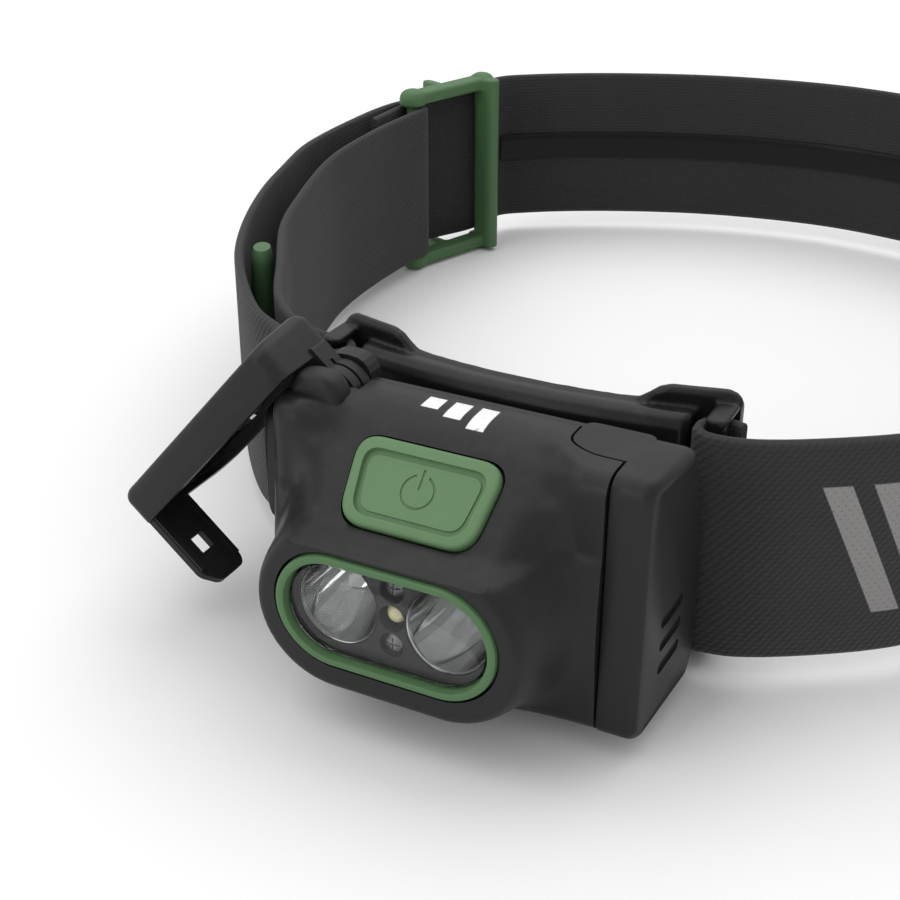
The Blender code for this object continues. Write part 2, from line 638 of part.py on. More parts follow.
def ribbon(name, path, thick, low, high, material, shift=0.0, parent=None):
    """Sweep a flat band that stands on edge along a path in the XY plane."""
    rings = []
    for index, point in enumerate(path):
        ahead = path[min(index + 1, len(path) - 1)] - path[max(index - 1, 0)]
        ahead.normalize()
        side = Vector((-ahead.y, ahead.x))
        near = point + side * (shift - thick / 2)
        far = point + side * (shift + thick / 2)
        rings.append(
            [
                (near.x, near.y, low),
                (far.x, far.y, low),
                (far.x, far.y, high),
                (near.x, near.y, high),
            ]
        )
    return loft(name, rings, material, parent, angle=50.0)


FRONT_BAR = (-71.2, 100.6)
REAR_BAR = (-64.9, 118.2)
WRAP = 1.2 + GAP + STRAP_THICK / 2
tail = [(-73.9, 90.0), (-73.7, 95.5)]
loop = arc(FRONT_BAR, WRAP + 0.1, 160.0, -10.0, 6)
inner_run = [(-69.2, 96.0), (-69.8, 84.0), (-68.5, 66.0), (-62.0, 44.3), (-57.4, 32.8)]
inner_run += [(-49.3, 19.2), (-41.2, 6.4), (-35.0, 0.9), (-30.0, -1.3)]
left_wrap = arc((-POST[0], POST[1]), WRAP + 0.1, 80.0, -80.0, 6)
outer_run = [(-30.6, -5.6), (-36.0, -2.2), (-42.0, 1.6), (-54.4, 15.8), (-62.0, 28.4)]
outer_run += [(-69.4, 45.2), (-72.9, 56.5), (-76.2, 69.0), (-77.0, 78.0), (-77.0, 88.0)]
outer_run += [(-76.6, 96.0), (-75.4, 102.2), (-71.6, 110.3), (-67.4, 118.7), (-65.9, 128.8)]
back_run = [(-61.0, 133.4), (-48.2, 141.2), (-29.3, 149.2), (-13.5, 153.0), (0.0, 154.3)]
back_run += [(13.5, 153.0), (29.3, 149.2), (48.2, 141.2), (61.0, 129.5), (69.6, 114.5)]
back_run += [(74.2, 97.0), (75.2, 80.0), (73.2, 60.0), (67.8, 40.0), (58.6, 20.6), (49.8, 7.6)]
back_run += [(45.6, 3.6), (38.2, -1.6), (33.0, -4.6), (29.4, -6.0)]
right_wrap = arc(POST, WRAP + 0.1, -100.0, -260.0, 6)
sewn = [(27.4, -1.75), (28.8, -2.1)]
route = tail + loop + inner_run + left_wrap + outer_run + back_run + right_wrap + sewn
webbing = paint("strap_webbing", WEBBING, 0.9)
ribbon("head_strap", curve_through(route, 4.0), STRAP_THICK, 0.0, STRAP_WIDTH, webbing)
grip_route = curve_through(outer_run[-1:] + back_run[:-4], 5.0)
grip_paint = paint("grip_silicone", (0.015, 0.015, 0.015), 0.2)
ribbon("grip_stripe", grip_route, 0.4, 12.4, 17.6, grip_paint, -(STRAP_THICK / 2 + 0.1 + 0.2))


def hull_outline(first, second, radius, count=6):
    """Outline of a straight bar with round ends."""
    run = Vector(second) - Vector(first)
    base = math.degrees(math.atan2(run.y, run.x))
    points = arc(first, radius, base + 90, base + 270, count)
    return points + arc(second, radius, base - 90, base + 90, count)


def slider(name, rear, fore, outer, material):
    """A strap slider: two bars inside the strap, one bar outside it, and a rail at each edge."""
    middle = (Vector(rear) + Vector(fore)) / 2
    inward = Vector(rear) + Vector((rear[1] - fore[1], fore[0] - rear[0])).normalized() * 3.0
    prism(name, hull_outline(rear, fore, 1.9), "Z", 30.35, 32.8, material, None, 0.5)
    pieces = [prism("rail", hull_outline(rear, fore, 1.9), "Z", -2.8, -0.35, None, None, 0.5)]
    pieces.append(prism("side_bar", hull_outline(rear, inward, 1.45), "Z", -2.6, 32.6))
    for low, high in ((30.35, 32.3), (-2.3, -0.35)):
        pieces.append(prism("arm", hull_outline(middle, outer, 1.1), "Z", low, high))
    for centre, radius in ((rear, 1.2), (fore, 1.2), (outer, 1.0)):
        reach = 33.0 if radius > 1.1 else 32.0
        pieces.append(rod("bar", radius, 30 - reach, reach, "Z", (*centre, 0), None, None, 12))
    for centre in (rear, fore):
        for end, way in ((33.4, -1.0), (-3.4, 1.0)):
            dome = [(0.0, end), (1.3, end + way * 0.1), (2.15, end + way * 0.6), (2.6, end + way * 1.5)]
            dome += [(2.6, end + way * 3.05), (0.0, end + way * 3.05)]
            pieces.append(turned("boss", dome, "Z", (*centre, 0), None, None, 16))
    return combine(bpy.data.objects[name], pieces, "UNION")


slider("strap_slider", REAR_BAR, FRONT_BAR, (-73.55, 111.4), green)
keeper = [
    (math.cos(2 * math.pi * step / 14), math.sin(2 * math.pi * step / 14)) for step in range(14)
]
keeper_rings = []
lean = Vector((8.1, -13.6)).normalized()
across = Vector((-lean.y, lean.x))
for z, size in ((1.0, 0.8), (2.0, 1.0), (15.0, 1.1), (28.0, 1.0), (29.0, 0.8)):
    ring = []
    for u, v in keeper:
        point = Vector((-55.9, 24.1)) + lean * u * 3.0 * size + across * v * 1.9 * size
        ring.append((point.x, point.y, z))
    keeper_rings.append(ring)
loft("strap_keeper", keeper_rings, green, angle=50.0)

# The model's own origin is the middle of the housing's flat base
bpy.context.view_layer.update()
base = Matrix.Translation(Vector((0.0, 18.0, -BOTTOM)) * MM)
for obj in bpy.context.scene.objects:
    if obj.parent is None:
        obj.matrix_world = base @ obj.matrix_world
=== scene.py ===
"""Camping headlamp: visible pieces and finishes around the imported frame.

The lamp shines towards -Y and the wearer's head is towards +Y. Shapes are drawn in millimetres in the
lamp's own drawing frame, and the matrices below carry them to metres in the shared frame.
"""

import math

import bmesh
import bpy
from mathutils import Matrix, Vector


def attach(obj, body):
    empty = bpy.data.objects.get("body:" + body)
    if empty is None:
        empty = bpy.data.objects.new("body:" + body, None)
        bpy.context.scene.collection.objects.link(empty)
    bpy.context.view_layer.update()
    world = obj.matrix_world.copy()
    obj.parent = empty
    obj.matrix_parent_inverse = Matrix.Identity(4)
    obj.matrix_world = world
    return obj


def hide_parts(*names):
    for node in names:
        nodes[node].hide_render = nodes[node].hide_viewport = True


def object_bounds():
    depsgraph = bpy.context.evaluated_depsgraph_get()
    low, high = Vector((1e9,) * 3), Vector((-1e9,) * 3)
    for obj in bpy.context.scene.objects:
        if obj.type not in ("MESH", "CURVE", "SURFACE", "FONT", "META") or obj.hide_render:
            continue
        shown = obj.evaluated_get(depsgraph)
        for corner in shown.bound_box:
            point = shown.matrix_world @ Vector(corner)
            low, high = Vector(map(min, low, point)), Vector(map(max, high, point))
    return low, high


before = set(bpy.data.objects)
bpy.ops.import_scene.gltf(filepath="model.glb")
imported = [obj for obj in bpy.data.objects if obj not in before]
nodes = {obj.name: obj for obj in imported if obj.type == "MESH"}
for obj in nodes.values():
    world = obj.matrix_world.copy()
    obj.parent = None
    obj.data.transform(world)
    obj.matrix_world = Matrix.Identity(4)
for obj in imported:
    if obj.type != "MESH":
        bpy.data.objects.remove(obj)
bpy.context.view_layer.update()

# Driving dimensions, in millimetres
STRAP_WIDTH = 30.0
STRAP_THICK = 1.4
CORE_HALF = 21.5
END_HALF = 28.0
TOP = 33.0
BOTTOM = -0.5
FRONT = -27.4
SNOUT_FRONT = -38.0
SNOUT_Z = 13.4
SNOUT_HALF = (16.0, 9.0)
LENS_Z = 14.1
LENS_X = 6.75
CELLS = ((-16.0, 6.2), (-18.0, 16.7))
DOOR_AXIS = (-17.0, 31.0)
POST = (26.2, -4.0)
POST_RADIUS = 1.2
GAP = 0.3
BROW_RADIUS = 8.0
CORNER_RADIUS = 2.4
CELL_BORE = 5.4
PIN_BORE = 1.05
BARREL_RADIUS = 3.6
LATCH_WINDOW = ((-16.8, -23.6, -3.0), (-14.4, -21.2, 3.0))
SLOPE = math.radians(43.3)

HOUSING = Matrix.Scale(0.001, 4) @ Matrix.Translation((0.0, 18.0, 0.5))
HINGE = Matrix.Translation((DOOR_AXIS[0], 0.0, DOOR_AXIS[1]))
DOOR = HOUSING @ HINGE @ Matrix.Rotation(math.radians(41.0), 4, "Y") @ HINGE.inverted()
BUTTON = HOUSING @ Matrix.Translation((0.0, -29.0, 27.15)) @ Matrix.Rotation(SLOPE, 4, "X")


# ---------------------------------------------------------------- shader groups


def node(tree, kind, inputs=None, **settings):
    """Add a node, with its settings and with each input set or linked."""
    made = tree.nodes.new(kind)
    for name, value in settings.items():
        setattr(made, name, value)
    for name, value in (inputs or {}).items():
        if isinstance(value, bpy.types.NodeSocket):
            tree.links.new(value, made.inputs[name])
        else:
            made.inputs[name].default_value = value
    return made


def math_node(tree, operation, first, second=0.0, third=0.0):
    return node(
        tree, "ShaderNodeMath", {0: first, 1: second, 2: third}, operation=operation
    ).outputs[0]


def remap(tree, value, source=(0.0, 1.0), target=(0.0, 1.0)):
    """Carry a value from one range to another, held between the ends of the second."""
    ends = {"Value": value, "From Min": source[0], "From Max": source[1]}
    ends |= {"To Min": target[0], "To Max": target[1]}
    return node(tree, "ShaderNodeMapRange", ends).outputs["Result"]


def noise(tree, where, scale, detail, roughness=0.5):
    settings = {"Vector": where, "Scale": scale, "Detail": detail, "Roughness": roughness}
    return node(tree, "ShaderNodeTexNoise", settings).outputs["Fac"]


def bump_with(tree, shader, height, strength, distance):
    """Let a height bend the shader's normal."""
    bump = node(tree, "ShaderNodeBump", {"Strength": strength, "Distance": distance, "Height": height})
    tree.links.new(bump.outputs["Normal"], shader.inputs["Normal"])


def shader_group(name, inputs, outputs):
    """An empty group with named sockets; returns the tree, its input sockets and its output node."""
    tree = bpy.data.node_groups.new(name, "ShaderNodeTree")
    for label, kind, value in inputs:
        socket = tree.interface.new_socket(label, in_out="INPUT", socket_type=kind)
        if value is not None:
            socket.default_value = value
    for label, kind in outputs:
        tree.interface.new_socket(label, in_out="OUTPUT", socket_type=kind)
    entry = tree.nodes.new("NodeGroupInput")
    leave = tree.nodes.new("NodeGroupOutput")
    return tree, entry.outputs, leave.inputs


def moulded_grain_group():
    """Fine spark texture of a moulding, with a slow change of tone under it."""
    tree, given, result = shader_group(
        "moulded_grain",
        [
            ("Vector", "NodeSocketVector", None),
            ("Size", "NodeSocketFloat", 4200.0),
            ("Contrast", "NodeSocketFloat", 0.3),
        ],
        [("Height", "NodeSocketFloat"), ("Tone", "NodeSocketFloat")],
    )
    fine = noise(tree, given["Vector"], given["Size"], 3.0, 0.6)
    pits = node(
        tree, "ShaderNodeTexVoronoi", {"Vector": given["Vector"], "Scale": given["Size"]}
    )
    blend = math_node(tree, "MULTIPLY_ADD", pits.outputs["Distance"], 0.5, fine)
    tree.links.new(blend, result["Height"])
    centred = math_node(tree, "SUBTRACT", noise(tree, given["Vector"], 90.0, 4.0, 0.55), 0.5)
    tone = math_node(tree, "MULTIPLY_ADD", centred, given["Contrast"], 0.5)
    speck = math_node(tree, "SUBTRACT", fine, 0.5)
    mixed = math_node(tree, "MULTIPLY_ADD", speck, 0.35, tone)
    tree.links.new(mixed, result["Tone"])
    return tree


def edge_rub_group():
    """Mask of the edges that handling has polished and paled."""
    tree, given, result = shader_group(
        "edge_rub",
        [
            ("Vector", "NodeSocketVector", None),
            ("Width", "NodeSocketFloat", 0.0004),
            ("Amount", "NodeSocketFloat", 1.0),
        ],
        [("Mask", "NodeSocketFloat")],
    )
    rounding = node(tree, "ShaderNodeBevel", {"Radius": given["Width"]}, samples=4)
    surface = node(tree, "ShaderNodeNewGeometry")
    turn = node(
        tree,
        "ShaderNodeVectorMath",
        {0: rounding.outputs["Normal"], 1: surface.outputs["Normal"]},
        operation="DOT_PRODUCT",
    )
    bent = remap(tree, turn.outputs["Value"], (0.985, 0.86))
    broken = remap(tree, noise(tree, given["Vector"], 420.0, 5.0, 0.7), (0.36, 0.62))
    mask = math_node(tree, "MULTIPLY", bent, broken)
    mask = math_node(tree, "MULTIPLY", mask, given["Amount"])
    tree.links.new(mask, result["Mask"])
    return tree


def settled_dust_group():
    """Mask of sparse dust, thickest on what faces up."""
    tree, given, result = shader_group(
        "settled_dust",
        [("Vector", "NodeSocketVector", None), ("Amount", "NodeSocketFloat", 0.2)],
        [("Mask", "NodeSocketFloat")],
    )
    surface = node(tree, "ShaderNodeNewGeometry")
    parts = node(tree, "ShaderNodeSeparateXYZ", {0: surface.outputs["Normal"]})
    upward = remap(tree, parts.outputs["Z"], (-0.1, 0.9))
    lumps = remap(tree, noise(tree, given["Vector"], 260.0, 6.0, 0.75), (0.48, 0.7))
    mask = math_node(tree, "MULTIPLY", upward, lumps)
    mask = math_node(tree, "MULTIPLY", mask, given["Amount"])
    tree.links.new(mask, result["Mask"])
    return tree


def webbing_weave_group():
    """Elastic webbing: twill lines on its face, a plain speckled weave on its back."""
    tree, given, result = shader_group(
        "webbing_weave",
        [
            ("UV", "NodeSocketVector", None),
            ("Pitch", "NodeSocketFloat", 0.00062),
            ("Face", "NodeSocketFloat", 1.0),
        ],
        [("Height", "NodeSocketFloat"), ("Tone", "NodeSocketFloat")],
    )
    parts = node(tree, "ShaderNodeSeparateXYZ", {0: given["UV"]})
    drift = math_node(tree, "MULTIPLY", noise(tree, given["UV"], 700.0, 2.0), 0.55)
    along = math_node(tree, "DIVIDE", parts.outputs["X"], given["Pitch"])
    along = math_node(tree, "ADD", along, drift)
    across = math_node(tree, "DIVIDE", parts.outputs["Y"], given["Pitch"])
    across = math_node(tree, "ADD", across, drift)

    def ripple(value):
        turns = math_node(tree, "MULTIPLY", value, 2 * math.pi)
        wave = math_node(tree, "SINE", turns)
        return math_node(tree, "MULTIPLY_ADD", wave, 0.5, 0.5)

    yarn = ripple(across)
    lean = math_node(tree, "MULTIPLY_ADD", across, 0.5, math_node(tree, "MULTIPLY", along, 0.62))
    twill = ripple(lean)
    face = math_node(tree, "MULTIPLY_ADD", twill, 0.65, math_node(tree, "MULTIPLY", yarn, 0.35))
    checks = math_node(tree, "MULTIPLY", ripple(along), yarn)
    back = math_node(tree, "MULTIPLY_ADD", checks, 0.7, math_node(tree, "MULTIPLY", yarn, 0.3))
    height = node(
        tree, "ShaderNodeMix", {0: given["Face"], 2: back, 3: face}, data_type="FLOAT"
    ).outputs[0]
    fuzz = noise(tree, given["UV"], 5200.0, 3.0, 0.7)
    hairy = math_node(tree, "MULTIPLY_ADD", fuzz, 0.5, height)
    tree.links.new(hairy, result["Height"])
    slow = math_node(tree, "MULTIPLY", noise(tree, given["UV"], 55.0, 4.0), 0.35)
    tone = math_node(tree, "MULTIPLY_ADD", height, 0.42, slow)
    tone = math_node(tree, "MULTIPLY_ADD", fuzz, 0.4, tone)
    tree.links.new(tone, result["Tone"])
    return tree


def drawn_metal_group():
    """Fine turning and handling marks on bright metal."""
    tree, given, result = shader_group(
        "drawn_metal",
        [("Vector", "NodeSocketVector", None), ("Size", "NodeSocketFloat", 2600.0)],
        [("Height", "NodeSocketFloat"), ("Tone", "NodeSocketFloat")],
    )
    stretch = node(tree, "ShaderNodeMapping", {"Vector": given["Vector"], "Scale": (1.0, 0.12, 1.0)})
    tree.links.new(noise(tree, stretch.outputs["Vector"], given["Size"], 4.0), result["Height"])
    tree.links.new(noise(tree, given["Vector"], 350.0, 4.0), result["Tone"])
    return tree


MOULDED_GRAIN = moulded_grain_group()
EDGE_RUB = edge_rub_group()
SETTLED_DUST = settled_dust_group()
WEBBING_WEAVE = webbing_weave_group()
DRAWN_METAL = drawn_metal_group()


# ---------------------------------------------------------------- finishes


def blank_material(name):
    material = bpy.data.materials.new(name)
    material.use_nodes = True
    tree = material.node_tree
    shader = tree.nodes["Principled BSDF"]
    where = node(tree, "ShaderNodeTexCoord").outputs["Object"]
    return material, tree, shader, where


def use_group(tree, group, **values):
    placed = tree.nodes.new("ShaderNodeGroup")
    placed.node_tree = group
    for name, value in values.items():
        if isinstance(value, bpy.types.NodeSocket):
            tree.links.new(value, placed.inputs[name])
        else:
            placed.inputs[name].default_value = value
    return placed.outputs


def tint(tree, share, low, high):
    """A colour between two others."""
    return node(
        tree,
        "ShaderNodeMix",
        {"Factor": share, 6: (*low, 1.0), 7: (*high, 1.0)},
        data_type="RGBA",
        clamp_factor=True,
    ).outputs[2]


def overlay(tree, share, under, colour):
    return node(
        tree,
        "ShaderNodeMix",
        {"Factor": share, 6: under, 7: (*colour, 1.0)},
        data_type="RGBA",
        clamp_factor=True,
    ).outputs[2]


def plastic(name, low, high, rub, rough=(0.38, 0.55), dust=0.04):
    """Moulded plastic: spark grain, a slow change of tone, rubbed edges and a little dust."""
    material, tree, shader, where = blank_material(name)
    surface = use_group(tree, MOULDED_GRAIN, Vector=where, Size=4200.0)
    rubbed = use_group(tree, EDGE_RUB, Vector=where, Amount=0.4)["Mask"]
    dusty = use_group(tree, SETTLED_DUST, Vector=where, Amount=dust)["Mask"]
    colour = tint(tree, surface["Tone"], low, high)
    colour = overlay(tree, rubbed, colour, rub)
    colour = overlay(tree, dusty, colour, (0.32, 0.31, 0.29))
    tree.links.new(colour, shader.inputs["Base Color"])
    gloss = remap(tree, surface["Tone"], (0.25, 0.75), rough)
    gloss = math_node(tree, "MULTIPLY_ADD", rubbed, -0.12, gloss)
    gloss = math_node(tree, "MULTIPLY_ADD", dusty, 0.5, gloss)
    tree.links.new(gloss, shader.inputs["Roughness"])
    bump_with(tree, shader, surface["Height"], 0.12, 0.00006)
    shader.inputs["Specular IOR Level"].default_value = 0.22
    return material, tree, shader, where, colour


def metal(name, low, high, rough=(0.18, 0.34)):
    """Bright metal with drawn marks and paler rubbed edges."""
    material, tree, shader, where = blank_material(name)
    marks = use_group(tree, DRAWN_METAL, Vector=where, Size=2600.0)
    rubbed = use_group(tree, EDGE_RUB, Vector=where, Amount=0.6, Width=0.0002)["Mask"]
    colour = overlay(tree, rubbed, tint(tree, marks["Tone"], low, high), (0.9, 0.9, 0.88))
    tree.links.new(colour, shader.inputs["Base Color"])
    tree.links.new(remap(tree, marks["Tone"], (0.3, 0.7), rough), shader.inputs["Roughness"])
    bump_with(tree, shader, marks["Height"], 0.12, 0.00003)
    shader.inputs["Metallic"].default_value = 1.0
    return material


def band(tree, value, low, high, soft=0.00006):
    """1 between two levels, with a short soft edge."""
    rise = remap(tree, value, (low - soft, low + soft))
    fall = remap(tree, value, (high + soft, high - soft))
    return math_node(tree, "MULTIPLY", rise, fall)


def case_plastic(name, printed=False):
    """Dark housing plastic, with three plain level bars printed above the button where asked for."""
    material, tree, shader, where, colour = plastic(
        name,
        (0.0125, 0.0125, 0.013),
        (0.016, 0.016, 0.0165),
        (0.03, 0.03, 0.032),
        rough=(0.36, 0.44),
        dust=0.03,
    )
    if printed:
        parts = node(tree, "ShaderNodeSeparateXYZ", {0: where})
        marks = None
        for centre, front in ((-0.0034, -0.0024), (0.0, -0.0034), (0.0034, -0.0044)):
            across = band(tree, parts.outputs["X"], centre - 0.0011, centre + 0.0011)
            deep = band(tree, parts.outputs["Y"], front, 0.0002)
            bar = math_node(tree, "MULTIPLY", across, deep)
            high = band(tree, parts.outputs["Z"], 0.0318, 0.0345)
            bar = math_node(tree, "MULTIPLY", bar, high)
            marks = bar if marks is None else math_node(tree, "MAXIMUM", marks, bar)
        kept = remap(tree, noise(tree, where, 1800.0, 4.0), (0.2, 0.36))
        marks = math_node(tree, "MULTIPLY", marks, kept)
        tree.links.new(overlay(tree, marks, colour, (0.82, 0.82, 0.81)), shader.inputs["Base Color"])
    return material


def webbing_finish():
    """Twill webbing that follows the strap, with a row of slanted printed bars on its right side."""
    material, tree, shader, where = blank_material("strap_webbing")
    uv = node(tree, "ShaderNodeUVMap", uv_map="weave").outputs["UV"]
    side = node(tree, "ShaderNodeAttribute", attribute_name="face_side").outputs["Fac"]
    weave = use_group(tree, WEBBING_WEAVE, UV=uv, Face=side)
    face_colour = tint(tree, weave["Tone"], (0.013, 0.013, 0.0135), (0.048, 0.0475, 0.048))
    back_colour = tint(tree, weave["Tone"], (0.019, 0.019, 0.0195), (0.040, 0.0395, 0.040))
    colour = node(
        tree, "ShaderNodeMix", {"Factor": side, 6: back_colour, 7: face_colour}, data_type="RGBA"
    ).outputs[2]
    parts = node(tree, "ShaderNodeSeparateXYZ", {0: uv})
    low_edge = band(tree, parts.outputs["Y"], -0.001, 0.0007, 0.0003)
    high_edge = band(tree, parts.outputs["Y"], STRAP_WIDTH / 1000 - 0.0007, 0.032, 0.0003)
    selvedge = math_node(tree, "MAXIMUM", low_edge, high_edge)
    colour = overlay(tree, math_node(tree, "MULTIPLY", selvedge, 0.35), colour, (0.05, 0.05, 0.051))
    slant = math_node(tree, "MULTIPLY_ADD", parts.outputs["Y"], -0.45, parts.outputs["X"])
    bars = None
    for start in range(3):
        first = PRINT_START + start * 0.0062
        bar = band(tree, slant, first, first + 0.0036)
        bars = bar if bars is None else math_node(tree, "MAXIMUM", bars, bar)
    bars = math_node(tree, "MULTIPLY", bars, band(tree, parts.outputs["Y"], 0.006, 0.024))
    bars = math_node(tree, "MULTIPLY", bars, side)
    bars = math_node(tree, "MULTIPLY", bars, remap(tree, weave["Height"], (0.05, 0.4)))
    colour = overlay(tree, bars, colour, (0.25, 0.24, 0.237))
    tree.links.new(colour, shader.inputs["Base Color"])
    rough = math_node(tree, "MULTIPLY_ADD", bars, -0.35, 0.88)
    tree.links.new(rough, shader.inputs["Roughness"])
    bump_with(tree, shader, weave["Height"], 0.6, 0.00022)
    shader.inputs["Sheen Weight"].default_value = 0.08
    shader.inputs["Sheen Roughness"].default_value = 0.5
    shader.inputs["Specular IOR Level"].default_value = 0.18
    return material


def rubbery(name, low, high, rough, size, depth):
    """Foam, rubber or silicone, by its grain and gloss."""
    material, tree, shader, where = blank_material(name)
    surface = use_group(tree, MOULDED_GRAIN, Vector=where, Size=size)
    tree.links.new(tint(tree, surface["Tone"], low, high), shader.inputs["Base Color"])
    tree.links.new(remap(tree, surface["Tone"], (0.3, 0.7), rough), shader.inputs["Roughness"])
    bump_with(tree, shader, surface["Height"], depth, 0.0001)
    shader.inputs["Specular IOR Level"].default_value = 0.18
    return material


def clear_window():
    """Clear moulded window with a little haze."""
    material, tree, shader, where = blank_material("window_clear")
    haze = use_group(tree, MOULDED_GRAIN, Vector=where, Size=900.0)
    tree.links.new(remap(tree, haze["Tone"], (0.3, 0.7), (0.0, 0.05)), shader.inputs["Roughness"])
    shader.inputs["Base Color"].default_value = (0.96, 0.97, 0.97, 1.0)
    shader.inputs["IOR"].default_value = 1.3
    shader.inputs["Transmission Weight"].default_value = 1.0
    return material


def mirror_finish():
    """Vacuum-metallised bowl with a slight ripple."""
    material, tree, shader, where = blank_material("reflector_chrome")
    ripple = noise(tree, where, 650.0, 2.0)
    colour = tint(tree, ripple, (0.30, 0.305, 0.31), (0.62, 0.62, 0.62))
    tree.links.new(colour, shader.inputs["Base Color"])
    tree.links.new(remap(tree, ripple, target=(0.03, 0.12)), shader.inputs["Roughness"])
    bump_with(tree, shader, ripple, 0.1, 0.0001)
    shader.inputs["Metallic"].default_value = 1.0
    return material


def resin_finish():
    """Clear resin over a yellow phosphor tile."""
    material, tree, shader, where = blank_material("led_resin")
    spots = use_group(tree, MOULDED_GRAIN, Vector=where, Size=3000.0)
    colour = tint(tree, spots["Tone"], (0.62, 0.55, 0.22), (0.92, 0.86, 0.55))
    tree.links.new(colour, shader.inputs["Base Color"])
    tree.links.new(remap(tree, spots["Tone"], target=(0.08, 0.25)), shader.inputs["Roughness"])
    shader.inputs["Coat Weight"].default_value = 0.6
    return material


def board_finish():
    """Green laminate with faint tracks."""
    material, tree, shader, where = blank_material("board_laminate")
    tracks = node(tree, "ShaderNodeTexBrick", {"Vector": where, "Scale": 520.0, "Mortar Size": 0.05})
    colour = tint(tree, tracks.outputs["Fac"], (0.012, 0.085, 0.035), (0.05, 0.19, 0.08))
    tree.links.new(colour, shader.inputs["Base Color"])
    gloss = remap(tree, noise(tree, where, 900.0, 3.0), target=(0.25, 0.5))
    tree.links.new(gloss, shader.inputs["Roughness"])
    return material


def cell_finish():
    """Printed wrap of a dry cell: a grey body, a dark band at one end and bare metal poles."""
    material, tree, shader, where = blank_material("cell_wrap")
    parts = node(tree, "ShaderNodeSeparateXYZ", {0: where})
    marks = use_group(tree, DRAWN_METAL, Vector=where, Size=1800.0)
    wrap = tint(tree, marks["Tone"], (0.34, 0.36, 0.36), (0.46, 0.48, 0.47))
    ring = band(tree, parts.outputs["X"], 0.009, 0.0205, 0.0001)
    wrap = overlay(tree, ring, wrap, (0.03, 0.10, 0.05))
    inner = band(tree, parts.outputs["X"], -0.0208, 0.0208, 0.00005)
    bare = math_node(tree, "SUBTRACT", 1.0, inner)
    tree.links.new(overlay(tree, bare, wrap, (0.72, 0.71, 0.68)), shader.inputs["Base Color"])
    tree.links.new(bare, shader.inputs["Metallic"])
    tree.links.new(remap(tree, marks["Tone"], target=(0.22, 0.42)), shader.inputs["Roughness"])
    return material


# ---------------------------------------------------------------- making pieces


def finish_piece(bm, name, material, body, replaces=(), place=HOUSING, angle=35.0):
    """Weld and face a bmesh, carry it to its place and let it ride on its body."""
    bmesh.ops.remove_doubles(bm, verts=bm.verts, dist=1e-4)
    bmesh.ops.recalc_face_normals(bm, faces=bm.faces)
    bmesh.ops.transform(bm, matrix=place, verts=bm.verts)
    mesh = bpy.data.meshes.new(name)
    bm.to_mesh(mesh)
    bm.free()
    obj = bpy.data.objects.new(name, mesh)
    bpy.context.scene.collection.objects.link(obj)
    mesh.materials.append(material)
    mesh.shade_smooth()
    mesh.set_sharp_from_angle(angle=math.radians(angle))
    if body:
        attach(obj, body)
        if replaces:
            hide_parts(*replaces)
    return obj


def cutter(bm, place=HOUSING):
    """A tool body for a Boolean; it is dropped once it has cut."""
    return finish_piece(bm, "tool", bpy.data.materials["cut_face"], None, place=place)


def cut(obj, tools, operation="DIFFERENCE"):
    """Apply exact Booleans with each tool in turn, then drop the tools."""
    for tool in tools:
        step = obj.modifiers.new("cut", "BOOLEAN")
        step.operation = operation
        step.solver = "EXACT"
        step.material_mode = "INDEX"
        step.object = tool
    apply_modifiers(obj)
    for tool in tools:
        bpy.data.objects.remove(tool, do_unlink=True)
    return obj


def apply_modifiers(obj, angle=35.0):
    bpy.context.view_layer.update()
    graph = bpy.context.evaluated_depsgraph_get()
    shaped = bpy.data.meshes.new_from_object(obj.evaluated_get(graph))
    shaped.name = obj.name
    obj.modifiers.clear()
    obj.data = shaped
    bm = bmesh.new()
    bm.from_mesh(shaped)
    bmesh.ops.remove_doubles(bm, verts=bm.verts, dist=2e-7)
    bmesh.ops.dissolve_degenerate(bm, dist=2e-7, edges=bm.edges)
    bm.to_mesh(shaped)
    bm.free()
    shaped.shade_smooth()
    shaped.set_sharp_from_angle(angle=math.radians(angle))
    return obj


def soften(obj, width, segments=2, angle=50.0):
    """Round the hard edges of a machined-looking piece."""
    step = obj.modifiers.new("edge_round", "BEVEL")
    step.width = width
    step.segments = segments
    step.limit_method = "ANGLE"
    step.angle_limit = math.radians(angle)
    step.use_clamp_overlap = True
    step.harden_normals = False
    return obj


def loft(rings, loop=False, uv=None):
    """Drape a grid over rows of points, join its seam and cap its ends."""
    rows = len(rings) + (1 if loop else 0)
    count = len(rings[0]) + 1
    bm = bmesh.new()
    bmesh.ops.create_grid(bm, x_segments=rows - 1, y_segments=count - 1, size=0.5)
    layer = bm.loops.layers.uv.new("weave") if uv else None
    numbers = {}
    for vert in bm.verts:
        row = round((vert.co.x + 0.5) * (rows - 1))
        turn = round((vert.co.y + 0.5) * (count - 1))
        numbers[vert] = (row, turn)
    if uv:
        for face in bm.faces:
            for corner in face.loops:
                corner[layer].uv = uv(*numbers[corner.vert])
    for vert, (row, turn) in numbers.items():
        vert.co = rings[row % len(rings)][turn % len(rings[0])]
    bmesh.ops.remove_doubles(bm, verts=bm.verts, dist=1e-5)
    if not loop:
        bmesh.ops.holes_fill(bm, edges=[e for e in bm.edges if e.is_boundary], sides=0)
    return bm


